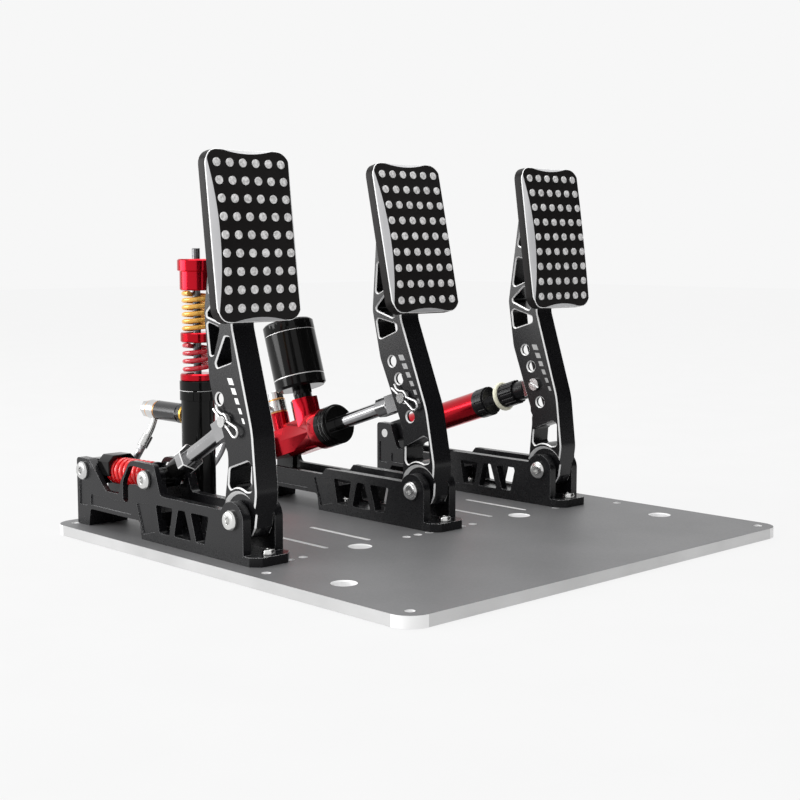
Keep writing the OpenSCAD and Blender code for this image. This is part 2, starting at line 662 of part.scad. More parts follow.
// The throttle's pin is a slotted screw with a nut
slotted_head_d = pin_d + 2;
driver_slot_w = 1.6;
driver_slot_turn = 25;
module throttle_pin() color(steel_finish) on_arm(throttle_x, throttle_lean) at_yz(long_hole) difference() {
    union() {
        bar_x(-arm_w / 2, arm_w / 2, pin_d);
        bar_x(-arm_w / 2 - pin_head_h, -arm_w / 2, slotted_head_d);
        translate([arm_w / 2, 0, 0]) rotate([0, 90, 0])
            cylinder(h = pin_head_h * 1.6, d = pin_head_d * 1.15, $fn = 6);
    }
    translate([-arm_w / 2 - pin_head_h, 0, 0]) rotate([driver_slot_turn, 0, 0])
        cube([pin_head_h, 2 * pin_head_d, driver_slot_w], center = true);
}

// Spring clip: one straight leg through the pin, a loop, and a leg that hugs the pin
clip_turn = 217;
clip_hug = (pin_d + clip_wire_d) / 2 + 0.3;
clip_loop_r = 3.6;
clip_loop_at = 14;
function arc(c, r, a0, a1, n) =
    [for (i = [0 : n]) let (a = a0 + (a1 - a0) * i / n) [c.x + r * cos(a), c.y + r * sin(a)]];
clip_path = concat(
    [[-13, 0], [-6, 0], [0, 0], [6, 0]],
    arc([clip_loop_at, -clip_loop_r + 0.6], clip_loop_r, 110, -110, 8),
    arc([0, 0], clip_hug, -40, -140, 5),
    [[-8, -2.4], [-12, -4.6]]);
module clip() translate([-clip_at, 0, 0]) rotate([clip_turn, 0, 0])
    tube([for (p = clip_path) [0, p.x, p.y]], clip_wire_d, 6, [1, 0, 0]);
module clutch_clip() color(steel_finish) on_arm(clutch_x, clutch_lean) at_yz(clutch_hole) clip();
module brake_clip() color(steel_finish) on_arm(brake_x, brake_lean) at_yz(long_hole) clip();

// Fork round a clevis pin, in its strut's frame
module fork(length, hole_d) difference() {
    union() {
        block(fork_w, 0, length, -fork_w / 2, fork_w / 2);
        bar_x(-fork_w / 2, fork_w / 2, fork_w);
    }
    block(fork_gap, -fork_w, length * 0.62, -fork_w, fork_w);
    bar_x(-fork_w, fork_w, hole_d);
}

// Clutch linkage: fork with a long shank, locknut and rod end
clutch_fork_len = 22;
clutch_taper = 8;
clutch_nut_len = 8;
rod_end_len = 30.013;
clutch_shank_end = clutch_reach - rod_end_len - clutch_nut_len;
clutch_nut_af = 18;
clutch_shank_d = 12;
rod_end_d = 15;
rod_end_w = 8;
rod_neck_d = 7;
ear_w = 5.5;

module on_clutch_link() on_strut(clutch_x, clutch_pin_at, trunnion) children();
module clutch_fork() color(steel_finish) on_clutch_link() {
    fork(clutch_fork_len, pin_d + 2 * fit_gap);
    translate([0, clutch_fork_len, 0]) rotate([-90, 0, 0])
        cylinder(h = clutch_taper, d1 = fork_w - 1, d2 = clutch_shank_d);
    bar_y(clutch_fork_len + clutch_taper, clutch_shank_end, clutch_shank_d);
}
module clutch_locknut() color(steel_finish) on_clutch_link() rotate([0, 30, 0])
    hex_y(clutch_shank_end, clutch_shank_end + clutch_nut_len, clutch_nut_af);
module clutch_rod_end() color(black_finish) on_clutch_link() difference() {
    union() {
        bar_y(clutch_shank_end + clutch_nut_len, clutch_reach - rod_end_d, rod_end_d - 1);
        bar_y(clutch_reach - rod_end_d, clutch_reach, rod_neck_d);
        translate([0, clutch_reach, 0]) bar_x(-rod_end_w / 2, rod_end_w / 2, rod_end_d);
    }
    translate([0, clutch_reach, 0]) bar_x(-fork_w, fork_w, trunnion_d + 2 * open_gap);
}

// Spring strut of the clutch, in a frame that runs from the trunnion to the rear pivot
spring_front = 12;
plunger_disc = 3;
block_face = spring_reach - 16;
hood_len = 12;
hood_wall = 1.8;
hood_clear = 0.4;
hood_lip = -3;
hood_half = clutch_spring_d / 2 + hood_clear + hood_wall;
hood_cut = 5;
hood_end = pocket_rear - trunnion_reach - 1.5;
block_low = 10;
block_high = 9;
// Section of the hood, seen from the driver with +Y down
hood_outline = [[-hood_half, block_low], [-hood_half, hood_cut - hood_half],
    [hood_cut - hood_half, -hood_half], [hood_half - hood_cut, -hood_half], [hood_half, hood_cut - hood_half],
    [hood_half, block_low]];
guide_bore_end = spring_reach - pin_d;
guide_stroke = 18.5;
guide_end = guide_bore_end - guide_stroke;
sleeve_wall = 1.6;
sleeve_front = guide_end - 8;
block_w = arm_w;
spring_len = block_face - spring_front;

module on_spring_strut() on_strut(clutch_x, trunnion, rear_pivot) children();
module clutch_trunnion() color(steel_finish) on_spring_strut() headed_trunnion();
module headed_trunnion() {
    bar_x(-base_w / 2 - side_gap, base_w / 2 + side_gap, trunnion_d);
    for (side = [0, 180]) rotate([0, 0, side]) translate([base_w / 2 + side_gap, 0, 0]) rotate([0, 90, 0])
        round_head(head_d, head_h);
}
module clutch_plunger() color(black_finish) on_spring_strut() difference() {
    union() {
        for (side = [-1, 1]) translate([side * (rod_end_w / 2 + side_gap + ear_w / 2), 0, 0]) {
            bar_x(-ear_w / 2, ear_w / 2, rod_end_d);
            block(ear_w, 0, spring_front - plunger_disc, -rod_end_d / 2, rod_end_d / 2);
        }
        bar_y(spring_front - plunger_disc, spring_front, clutch_spring_d);
        bar_y(spring_front, guide_end, guide_d);
    }
    bar_x(-base_w, base_w, trunnion_d + 2 * fit_gap);
}
module clutch_spring() color(red_finish) on_spring_strut() translate([0, spring_front, 0]) rotate([-90, 0, 0])
    spring(clutch_spring_d, spring_len, clutch_turns, clutch_wire_d);
module clutch_spring_block() color(black_finish) on_spring_strut() difference() {
    union() {
        translate([0, block_face - hood_len, 0]) rotate([-90, 0, 0])
            linear_extrude(hood_end - block_face + hood_len) polygon(hood_outline);
        block(block_w, block_face, spring_reach, -block_low, block_high);
        bar_y(sleeve_front, block_face, guide_d + 2 * sleeve_wall);
        translate([0, spring_reach, 0]) bar_x(-block_w / 2, block_w / 2, 2 * block_high);
    }
    difference() {
        union() {
            block(2 * base_w, block_face - hood_len - past, block_face, -base_w, hood_lip);
            bar_y(block_face - hood_len - past, block_face, clutch_spring_d + 2 * hood_clear);
        }
        bar_y(0, spring_reach, guide_d + 2 * sleeve_wall);
    }
    bar_y(0, guide_bore_end, guide_d + 2 * fit_gap);
    translate([0, spring_reach, 0]) bar_x(-base_w, base_w, pin_d + 2 * fit_gap);
}

// Brake linkage and master cylinder, in the strut's frame
brake_fork_len = 26;
brake_nut_len = 13;
brake_nut_af = 14.5;
piston_at = 17;
piston_len = 10;
master_front = brake_reach - master_len;
reservoir_back = brake_reach - reservoir_ahead;
cap_end = master_front + master_cap_len;
collar_len = 8;
collar_taper = 5;
body_end = brake_reach - 28.45;
bore_end = body_end - 8;
tongue_w = arm_w;
tongue_h = 22;
tongue_front = body_end - 8;
outlet_back = brake_reach - 15.45;
outlet_up = 26;
outlet_d = 15;
boss_af = 21;
boss_up = reservoir_up - 9;
neck_d = 15;

module on_brake() on_strut(brake_x, brake_pin_at, rear_pivot) children();
module brake_fork() color(steel_finish) on_brake() fork(brake_fork_len, pin_d + 2 * open_gap);
module brake_locknut() color(steel_finish) on_brake()
    hex_y(brake_fork_len, brake_fork_len + brake_nut_len, brake_nut_af);
module brake_push_rod() color(steel_finish) on_brake()
    bar_y(brake_fork_len + brake_nut_len, master_front + piston_at, push_rod_d);
module master_piston() color(steel_finish) on_brake()
    bar_y(master_front + piston_at, master_front + piston_at + piston_len, piston_d);

module master_cap() color(black_finish) on_brake() difference() {
    union() {
        bar_y(master_front + 2, cap_end, master_cap_d);
        bar_y(master_front, master_front + 2, master_cap_d - 3);
    }
    bar_y(master_front - past, cap_end + past, push_rod_d + 2 * fit_gap);
    for (y = [4.5, 8.5]) translate([0, master_front + y, 0]) difference() {
        bar_y(0, 1.2, master_cap_d + past);
        bar_y(-past, 2.2, master_cap_d - 1.6);
    }
}

module upright(back, low, high, d, sides) translate([0, back, low])
    cylinder(h = high - low, d = d, $fn = sides);
module master_cylinder() color(red_finish) on_brake() difference() {
    union() {
        bar_y(cap_end, cap_end + collar_len, master_cap_d);
        translate([0, cap_end + collar_len, 0]) rotate([-90, 0, 0])
            cylinder(h = collar_taper, d1 = master_cap_d, d2 = master_af);
        hex_y(cap_end + collar_len, body_end, master_af);
        block(tongue_w, tongue_front, brake_reach, -tongue_h / 2, tongue_h / 2);
        translate([0, brake_reach, 0]) bar_x(-tongue_w / 2, tongue_w / 2, tongue_h);
        upright(reservoir_back, 0, boss_up, boss_af / cos(30), 6);
        upright(outlet_back, 0, outlet_up, outlet_d, 48);
    }
    bar_y(cap_end - past, bore_end, piston_d + 2 * fit_gap);
    translate([0, brake_reach, 0]) bar_x(-base_w, base_w, pin_d + 2 * fit_gap);
}
module reservoir_neck() color(black_finish) on_brake() {
    upright(reservoir_back, boss_up, reservoir_up - 5, neck_d, 48);
    upright(reservoir_back, reservoir_up - 5, reservoir_up, neck_d + 2, 6);
}

// Reservoir: a turned cup with a groove line, under a lid with holes for a pin wrench
cup_h = reservoir_h - lid_h;
groove = 0.5;
wrench_holes = 6;
wrench_hole_d = 3;
cup_r = reservoir_d / 2;
cup_edge = 2;
lid_edge = 1.5;
groove_at = 9;
groove_w = 1.3;
module on_reservoir(z) on_brake() translate([0, reservoir_back, reservoir_up + z]) children();
module reservoir() color(black_finish) on_reservoir(0) rotate_extrude() polygon([
    [0, 0], [cup_r - cup_edge, 0], [cup_r, cup_edge], [cup_r, groove_at], [cup_r - groove, groove_at + 0.3],
    [cup_r - groove, groove_at + groove_w - 0.3], [cup_r, groove_at + groove_w], [cup_r, cup_h], [0, cup_h]]);
module reservoir_lid() color(black_finish) on_reservoir(cup_h) difference() {
    rotate_extrude() polygon([[0, 0], [cup_r - groove, 0], [cup_r - groove, 0.7], [cup_r, 1],
        [cup_r, lid_h - lid_edge], [cup_r - lid_edge, lid_h], [0, lid_h]]);
    for (i = [0 : wrench_holes - 1]) rotate([0, 0, 360 * i / wrench_holes])
        translate([cup_r - 1.2 * wrench_hole_d, 0, lid_h - wrench_hole_d])
            cylinder(h = wrench_hole_d + past, d = wrench_hole_d, $fn = 24);
}

// Banjo fittings: an eye with a bent stem and a ferrule, washers on both sides and a bolt
eye_d = 15;
eye_w = 9;
washer_t = 1.5;
bolt_af = 12;
bolt_head_h = 6.5;
bolt_d = 8;
eye_mid = washer_t + eye_w / 2;
stem_d = 5;
stem_r = 46;
stem_bend = 27;
ferrule_d = hose_d + 2.4;
ferrule_len = 10;
// The stem leaves the eye along +X and bends towards +Y
module banjo_stem() difference() {
    translate([0, stem_r, 0]) {
        rotate([0, 0, -90]) rotate_extrude(angle = stem_bend) translate([stem_r, 0]) circle(d = stem_d);
        rotate([0, 0, stem_bend]) translate([0, -stem_r, 0]) rotate([0, 90, 0])
            cylinder(h = ferrule_len, d = ferrule_d);
    }
    cylinder(h = 2 * eye_d, d = eye_d - 1, center = true);
}
module banjo_eye() {
    difference() {
        translate([0, 0, washer_t]) cylinder(h = eye_w, d = eye_d);
        translate([0, 0, -past]) cylinder(h = 2 * eye_d, d = bolt_d + 2 * fit_gap);
    }
    translate([0, 0, eye_mid]) banjo_stem();
}
// Where the hose leaves a ferrule, in the eye's own plane, and which way it heads
stem_way = [cos(stem_bend), sin(stem_bend)];
stem_end = [stem_r * sin(stem_bend), stem_r * (1 - cos(stem_bend))] + ferrule_len * stem_way;
function turned(p, a) = [p.x * cos(a) - p.y * sin(a), p.x * sin(a) + p.y * cos(a)];
module banjo_washers() for (z = [0, washer_t + eye_w]) translate([0, 0, z]) difference() {
    cylinder(h = washer_t, d = eye_d - 0.6);
    translate([0, 0, -past]) cylinder(h = 3 * past + washer_t, d = bolt_d + 2 * fit_gap);
}
module banjo_bolt() {
    translate([0, 0, 2 * washer_t + eye_w]) cylinder(h = bolt_head_h, d = bolt_af / cos(30), $fn = 6);
    cylinder(h = 2 * washer_t + eye_w, d = bolt_d);
}
sensor_d = 16;
sensor_len = 36;
sensor_hex = 7;
gold_washer_t = 2.4;
gold_washer_d = sensor_d + 1;
slave_x = clutch_x + slave_side;
slave_y = rear_pivot.x - slave_ahead;
fitting_at = [slave_x, slave_y + slave_d / 2, plate_t + fitting_h];
slave_fit_flat = 0.6;
// The slave's fitting points away from the driver, the master's stands on the outlet
module on_slave_fitting() translate(fitting_at - [0, slave_fit_flat, 0]) rotate([-90, 0, 0]) children();
module on_slave_banjo() on_slave_fitting() translate([0, 0, gold_washer_t + sensor_len]) children();
module on_outlet() on_brake() translate([0, outlet_back, outlet_up]) children();
slave_banjo_turn = 98;
master_banjo_turn = 153;

module slave_banjo() color(steel_finish) on_slave_banjo() rotate([0, 0, slave_banjo_turn]) banjo_eye();
module master_banjo() color(steel_finish) on_outlet() rotate([0, 0, master_banjo_turn]) banjo_eye();
module banjo_bolts() color(steel_finish) {
    on_slave_banjo() banjo_bolt();
    on_outlet() banjo_bolt();
}
module crush_washers() color(copper_finish) {
    on_slave_banjo() banjo_washers();
    on_outlet() banjo_washers();
    on_slave_fitting() cylinder(h = gold_washer_t, d = gold_washer_d);
}
module pressure_sensor() color(steel_finish) on_slave_fitting() {
    translate([0, 0, gold_washer_t]) cylinder(h = sensor_hex, d = sensor_d, $fn = 6);
    translate([0, 0, gold_washer_t + sensor_hex]) cylinder(h = sensor_len - sensor_hex, d = sensor_d - 1);
}

// Hose from the slave's banjo down behind the bases and up to the master's banjo
function outlet_point(back, up) = let (a = slope(brake_pin_at, rear_pivot))
    brake_pin_at + [back * cos(a) + up * sin(a), up * cos(a) - back * sin(a)];
master_way = turned(stem_way, master_banjo_turn);
master_end = turned(stem_end, master_banjo_turn);
master_leave = outlet_point(outlet_back + master_end.y, outlet_up + eye_mid);
slave_eye_y = slave_y + slave_d / 2 - slave_fit_flat + gold_washer_t + sensor_len + eye_mid;
slave_eye = [slave_x, slave_eye_y, plate_t + fitting_h];
slave_way = turned(stem_way, slave_banjo_turn);
slave_end = turned(stem_end, slave_banjo_turn);
hose_start = slave_eye + [slave_end.x, 0, -slave_end.y];
hose_end = [brake_x + master_end.x, master_leave.x, master_leave.y];
// Straight leads at both ends; between them shares of the way across, places behind the
// rear pivots and heights above the plate
hose_lead = 2.5;
hose_clear = 0.1;
function lead(p, way) = [for (k = [0 : 2]) p + (hose_clear + k * hose_lead) * way];
master_lead = lead(hose_end, [master_way.x, 0, 0]);
hose_route = [[-0.023, -12, 49], [0.007, -6, 42], [0.068, 2, 35], [0.155, 9, 29], [0.277, 14, 24],
    [0.425, 16, 21], [0.573, 17, 20], [0.695, 16, 23], [0.782, 14, 31], [0.838, 11, 42], [0.864, 8, 53],
    [0.89, 5, 63], [0.921, 2.5, 71]];
hose_points = concat(
    lead(hose_start, [slave_way.x, 0, -slave_way.y]),
    [for (p = hose_route) [hose_start.x + p[0] * (hose_end.x - hose_start.x), rear_pivot.x + p[1],
        plate_t + p[2]]],
    [master_lead[2], master_lead[1], master_lead[0]]);
module brake_hose() color(steel_finish) tube(smooth(hose_points), hose_d, 8, [0, 1, 0]);

// Slave cylinder with its stack of springs, standing on the plate
slave_top = plate_t + slave_h;
seat_bottom = slave_top + lock_ring_h;
lower_bottom = seat_bottom + seat_t;
spacer_bottom = lower_bottom + lower_spring_h;
upper_bottom = spacer_bottom + spacer_h;
cap_bottom = upper_bottom + upper_spring_h;
cap_top = cap_bottom + top_cap_h;
stem_out = 8;
slave_foot_d = slave_d + 8;
slave_foot_t = 5;
rod_hole_d = centre_rod_d + 2 * fit_gap;
rod_depth = 20;

module on_slave(z) translate([slave_x, slave_y, z]) children();
module slave_cylinder() color(black_finish) difference() {
    on_slave(plate_t) {
        cylinder(h = slave_h, d = slave_d);
        cylinder(h = slave_foot_t, d = slave_foot_d);
    }
    on_slave(slave_top - rod_depth) cylinder(h = rod_depth + past, d = rod_hole_d);
    on_slave_fitting() cylinder(h = gold_washer_t, d = gold_washer_d);
}
module slave_lock_rings() color(black_finish) on_slave(slave_top) difference() {
    ring_h = lock_ring_h / 2;
    ring_r = lock_ring_d / 2;
    rotate_extrude() polygon([[rod_hole_d / 2, 0], [ring_r, 0], [ring_r, ring_h - 0.5],
        [ring_r - 0.6, ring_h - 0.3], [ring_r - 0.6, ring_h + 0.3], [ring_r, ring_h + 0.5],
        [ring_r, lock_ring_h], [rod_hole_d / 2, lock_ring_h]]);
    for (i = [0 : 3]) rotate([0, 0, 45 + 90 * i])
        translate([lock_ring_d / 2 - 1.2, -1.5, -past]) cube([2.4, 3, ring_h + past]);
}
module ringed(d, h, lip) rotate_extrude() polygon([[rod_hole_d / 2, 0], [d / 2 - 0.8, 0], [d / 2, 0.8],
    [d / 2, h - lip], [d / 2 - lip, h], [rod_hole_d / 2, h]]);
module slave_seat() color(red_finish) on_slave(seat_bottom) ringed(slave_d + 0.8, seat_t, 1);
module slave_spacer() color(red_finish) on_slave(spacer_bottom) ringed(slave_d - 0.4, spacer_h, 0.8);
// Both springs start where their end turns meet their seats on the driver's side
spring_start = 91;
module slave_lower_spring() color(red_finish) on_slave(lower_bottom) rotate([0, 0, spring_start])
    spring(slave_spring_d, lower_spring_h, lower_turns, slave_wire_d);
module slave_upper_spring() color(gold_finish) on_slave(upper_bottom) rotate([0, 0, spring_start])
    spring(slave_spring_d, upper_spring_h, upper_turns, slave_wire_d);
flange_at = top_cap_h * 0.6;
flange_r = top_flange_d / 2;
skirt_r = slave_d / 2 - 0.2;
module slave_top_cap() color(red_finish) on_slave(cap_bottom) rotate_extrude() polygon([
    [rod_hole_d / 2, 0], [skirt_r - 0.8, 0], [skirt_r, 0.8], [skirt_r, flange_at],
    [flange_r, flange_at + 0.8], [flange_r, top_cap_h - 1], [flange_r - 1, top_cap_h],
    [rod_hole_d / 2, top_cap_h]]);
module slave_centre_rod() color(steel_finish) on_slave(slave_top - rod_depth)
    cylinder(h = cap_top + stem_out - slave_top + rod_depth, d = centre_rod_d);

// Throttle strut, in a frame that runs from the arm's pin to the rear pivot
throttle_fork_len = 18;
knob_hub_len = 11;
knob_hub_d = 16.5;
knob_front = throttle_fork_len;
knob_grip = knob_front + knob_hub_len;
ring_front = knob_grip + knob_len;
ring_t = 4.5;
rod_inner = tube_front + tube_cap_len + 14;
tube_end = throttle_reach - 22;
spring_stop = 3;
eye_tail_d = 18;

module on_throttle() on_strut(throttle_x, throttle_pin_at, rear_pivot) children();
module throttle_fork() color(steel_finish) on_throttle() fork(throttle_fork_len, pin_d + 2 * open_gap);
module throttle_knob() color(black_finish) on_throttle() difference() {
    union() {
        bar_y(knob_front, knob_grip, knob_hub_d);
        bar_y(knob_grip, ring_front, knob_d);
    }
    bar_y(knob_front - past, ring_front + past, throttle_rod_d + 2 * fit_gap);
    for (i = [0 : knob_flutes - 1]) rotate([0, 360 * i / knob_flutes, 0]) translate([0, 0, knob_d / 2 + 0.4])
        bar_y(knob_grip - past, ring_front - 1.6, 2.4);
}
module throttle_ring() color(ivory_finish) on_throttle() translate([0, ring_front, 0]) rotate([-90, 0, 0])
    rotate_extrude() polygon([[throttle_rod_d / 2 + fit_gap, 0], [ring_d / 2 - 1, 0], [ring_d / 2, 1.2],
        [ring_d / 2, ring_t - 1.6], [ring_d / 2 - 2.4, ring_t], [throttle_rod_d / 2 + fit_gap, ring_t]]);
module throttle_rod() color(steel_finish) on_throttle() {
    bar_y(throttle_fork_len, rod_inner, throttle_rod_d);
    bar_y(rod_inner, rod_inner + spring_stop, tube_bore_d - 2 * fit_gap);
}
module throttle_tube_cap() color(black_finish) on_throttle() difference() {
    union() {
        bar_y(tube_front + 1.5, tube_front + tube_cap_len, tube_d + 1.4);
        bar_y(tube_front, tube_front + 1.5, tube_d - 1.6);
    }
    bar_y(tube_front - past, tube_front + tube_cap_len + past, throttle_rod_d + 2 * fit_gap);
    for (i = [0 : 11]) rotate([0, 30 * i, 0]) translate([0, 0, tube_d / 2 + 1.1])
        bar_y(tube_front - past, tube_front + tube_cap_len - 3, 2);
}
module throttle_tube() color(red_finish) on_throttle() difference() {
    bar_y(tube_front + tube_cap_len, tube_end, tube_d);
    bar_y(tube_front + tube_cap_len - past, tube_end + past, tube_bore_d);
}
throttle_spring_at = rod_inner + spring_stop;
eye_plug = 6;
throttle_spring_d = tube_bore_d - 1.4;
throttle_spring_len = tube_end - throttle_spring_at - eye_plug;
throttle_turns = 8;
throttle_wire_d = 2;
module throttle_spring() color(steel_finish) on_throttle()
    translate([0, throttle_spring_at, 0]) rotate([-90, 0, 0])
        spring(throttle_spring_d, throttle_spring_len, throttle_turns, throttle_wire_d);
module throttle_eye() color(black_finish) on_throttle() difference() {
    union() {
        bar_y(tube_end - eye_plug, tube_end, tube_bore_d - 2 * fit_gap);
        bar_y(tube_end, tube_end + 4, tube_d - 1);
        block(arm_w, tube_end + 4, throttle_reach, -eye_tail_d / 2, eye_tail_d / 2);
        translate([0, throttle_reach, 0]) bar_x(-arm_w / 2, arm_w / 2, eye_tail_d);
    }
    translate([0, throttle_reach, 0]) bar_x(-base_w, base_w, pin_d + 2 * fit_gap);
}

// Least gap of each spring to itself
function spring_gap(d, height, turns, wire) = least_gap(spring_path(d, height, turns, wire), wire);
echo(clutch_spring_gap = spring_gap(clutch_spring_d, spring_len, clutch_turns, clutch_wire_d));
echo(lower_spring_gap = spring_gap(slave_spring_d, lower_spring_h, lower_turns, slave_wire_d));
echo(upper_spring_gap = spring_gap(slave_spring_d, upper_spring_h, upper_turns, slave_wire_d));
echo(throttle_spring_gap =
    spring_gap(throttle_spring_d, throttle_spring_len, throttle_turns, throttle_wire_d));

base_plate();
clutch_base();
brake_base();
throttle_base();
base_screws();
pivot_shafts();
rear_pins();
clutch_arm();
clutch_pad();
clutch_bearings();
clutch_pin();
clutch_clip();
clutch_fork();
clutch_locknut();
clutch_rod_end();
clutch_trunnion();
clutch_plunger();
clutch_spring();
clutch_spring_block();
brake_arm();
brake_pad();
brake_bearings();
brake_pin();
brake_clip();
brake_fork();
brake_locknut();
brake_push_rod();
master_piston();
master_cap();
master_cylinder();
reservoir_neck();
reservoir();
reservoir_lid();
master_banjo();
brake_hose();
slave_banjo();
banjo_bolts();
crush_washers();
pressure_sensor();
slave_cylinder();
slave_lock_rings();
slave_seat();
slave_lower_spring();
slave_spacer();
slave_upper_spring();
slave_top_cap();
slave_centre_rod();
throttle_arm();
throttle_pad();
throttle_bearings();
throttle_pin();
throttle_fork();
throttle_knob();
throttle_ring();
throttle_rod();
throttle_tube_cap();
throttle_tube();
throttle_spring();
throttle_eye();
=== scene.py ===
"""Looks of the three-pedal set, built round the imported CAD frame. Sizes in millimetres, meshes in metres."""

import json
import math

import bmesh
import bpy
from mathutils import Matrix, Vector


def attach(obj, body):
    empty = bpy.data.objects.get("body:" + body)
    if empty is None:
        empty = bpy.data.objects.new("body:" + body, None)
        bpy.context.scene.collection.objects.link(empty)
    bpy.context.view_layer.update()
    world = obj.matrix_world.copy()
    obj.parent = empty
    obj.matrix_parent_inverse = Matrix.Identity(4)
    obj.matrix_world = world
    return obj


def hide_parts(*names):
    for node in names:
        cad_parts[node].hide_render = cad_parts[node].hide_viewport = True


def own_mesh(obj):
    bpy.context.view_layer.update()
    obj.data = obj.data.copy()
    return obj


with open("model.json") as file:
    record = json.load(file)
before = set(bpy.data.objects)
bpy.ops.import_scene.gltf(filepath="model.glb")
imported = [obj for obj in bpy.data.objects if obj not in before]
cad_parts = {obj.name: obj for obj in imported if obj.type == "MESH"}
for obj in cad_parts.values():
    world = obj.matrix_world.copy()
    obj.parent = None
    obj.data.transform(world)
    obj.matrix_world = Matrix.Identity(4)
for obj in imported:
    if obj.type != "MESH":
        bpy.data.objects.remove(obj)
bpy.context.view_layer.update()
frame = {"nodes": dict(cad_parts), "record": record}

MM = 0.001
WELD = 3e-6
FLAT_ANGLE = math.radians(0.6)
SMOOTH_ANGLE = math.radians(32)
PEDALS = ("clutch", "brake", "throttle")
SQUARE = ((-1, -1), (1, -1), (1, 1), (-1, 1))
BODY = {node: body for body, nodes in frame["record"]["behaviour"]["bodies"].items() for node in nodes}

# Places in millimetres, as [y, z] where a piece lies in its pedal's own plane
PEDAL_X = {"clutch": -168.0, "brake": 3.0, "throttle": 150.0}
LEAN = {"clutch": 0.0, "brake": 5.8, "throttle": 1.5}
PIVOT = (-11.25, 37.3)
REAR_PIVOT = (176.0, 50.5)
TRUNNION = (91.5, 53.0)
ARM_HALF = 10.0
ARM_HOLES = {"clutch": [(14, 66), (21.6, 80.7)], "brake": [(4, 56), (8.7, 70.8), (13.5, 85.4), (19.8, 99.2)]}
ARM_HOLES["throttle"] = ARM_HOLES["brake"]
PIN_HOLE = {"clutch": ARM_HOLES["clutch"][0], "brake": ARM_HOLES["brake"][1],
            "throttle": ARM_HOLES["throttle"][1]}
PAD_FACE = (-10.3, 192.4)
PAD_TILT = 6.8
PAD_CROWN_R = 379.0
SLAVE = (-129.2, 103.0)
PLATE_TOP = 8.0

# Materials: every one has noise in its colour, its roughness and its surface

COAT_ROUGH = 0.12
FINE_DETAIL, BROAD_DETAIL = 4.0, 3.0
BROAD_SCALE = 14.0
RELIEF_DEPTH = 0.0004
RAMP_ENDS = (0.35, 0.65)


def grey(level):
    return (level, level, level)


def finish(name, low, high, rough, metal=0.0, grain=900.0, stretch=(1, 1, 1), bump=0.03, coat=0.0, spec=0.5,
           patch=BROAD_SCALE):
    """A material in patches from a low to a high colour, with a fine grain in roughness and relief."""
    mat = bpy.data.materials.new(name)
    mat.use_nodes = True
    nodes, links = mat.node_tree.nodes, mat.node_tree.links
    shader = nodes["Principled BSDF"]
    shader.inputs["Metallic"].default_value = metal
    shader.inputs["Coat Weight"].default_value = coat
    shader.inputs["Coat Roughness"].default_value = COAT_ROUGH
    shader.inputs["Specular IOR Level"].default_value = spec
    place = nodes.new("ShaderNodeTexCoord")
    spread = nodes.new("ShaderNodeMapping")
    spread.inputs["Scale"].default_value = stretch
    links.new(place.outputs["Object"], spread.inputs["Vector"])
    fine = nodes.new("ShaderNodeTexNoise")
    fine.inputs["Scale"].default_value = grain
    fine.inputs["Detail"].default_value = FINE_DETAIL
    links.new(spread.outputs["Vector"], fine.inputs["Vector"])
    broad = nodes.new("ShaderNodeTexNoise")
    broad.inputs["Scale"].default_value = patch
    broad.inputs["Detail"].default_value = BROAD_DETAIL
    links.new(place.outputs["Object"], broad.inputs["Vector"])
    colours = nodes.new("ShaderNodeValToRGB")
    for element, position, colour in zip(colours.color_ramp.elements, RAMP_ENDS, (low, high)):
        element.position = position
        element.color = (*colour, 1)
    links.new(broad.outputs["Fac"], colours.inputs["Fac"])
    links.new(colours.outputs["Color"], shader.inputs["Base Color"])
    rough_range = nodes.new("ShaderNodeMapRange")
    rough_range.inputs["To Min"].default_value = rough[0]
    rough_range.inputs["To Max"].default_value = rough[1]
    links.new(fine.outputs["Fac"], rough_range.inputs["Value"])
    links.new(rough_range.outputs["Result"], shader.inputs["Roughness"])
    relief = nodes.new("ShaderNodeBump")
    relief.inputs["Strength"].default_value = bump
    relief.inputs["Distance"].default_value = RELIEF_DEPTH
    links.new(fine.outputs["Fac"], relief.inputs["Height"])
    links.new(relief.outputs["Normal"], shader.inputs["Normal"])
    return mat


BLACK = finish("black_anodised", (0.005, 0.005, 0.006), (0.008, 0.008, 0.009), (0.24, 0.32),
               coat=0.06, spec=0.27)
BLACK_PAD = finish("black_pad", (0.008, 0.007, 0.007), (0.012, 0.011, 0.011), (0.42, 0.55),
                   grain=1400.0, spec=0.14)
BLACK_GLOSS = finish("black_gloss", grey(0.003), grey(0.005), (0.08, 0.14), bump=0.01, coat=0.08, spec=0.14)
# Light grey for the bases' edge bevels: a painted highlight along the edges
EDGE_HIGHLIGHT = finish("edge_highlight", (0.34, 0.34, 0.35), (0.46, 0.46, 0.47), (0.3, 0.42), metal=0.7)
SILVER = finish("cut_edge", grey(0.82), grey(0.92), (0.30, 0.42), metal=0.45, grain=1500.0)
PAD_BEVEL = finish("pad_bevel", (0.46, 0.46, 0.47), (0.56, 0.56, 0.57), (0.38, 0.50), metal=0.25,
                   grain=1500.0, stretch=(3.0, 1.0, 0.1), bump=0.05)
STUD = finish("stud_rim", grey(0.92), grey(0.98), (0.30, 0.45), grain=2400.0, bump=0.02)
STUD_TOP = finish("stud_top", (0.52, 0.51, 0.51), (0.96, 0.95, 0.95), (0.30, 0.45), metal=0.1,
                  grain=2400.0, bump=0.3, patch=520.0)
STEEL = finish("bright_zinc", (0.55, 0.55, 0.55), (0.70, 0.70, 0.69), (0.16, 0.28), metal=1.0, bump=0.015)
CHROME = finish("polished_rod", (0.58, 0.58, 0.59), (0.70, 0.70, 0.71), (0.05, 0.12), metal=1.0, bump=0.01)
RED = finish("red_anodised", (0.46, 0.003, 0.012), (0.53, 0.004, 0.016), (0.15, 0.20), metal=0.9,
             grain=300.0, bump=0.004, coat=0.12, spec=0.3)
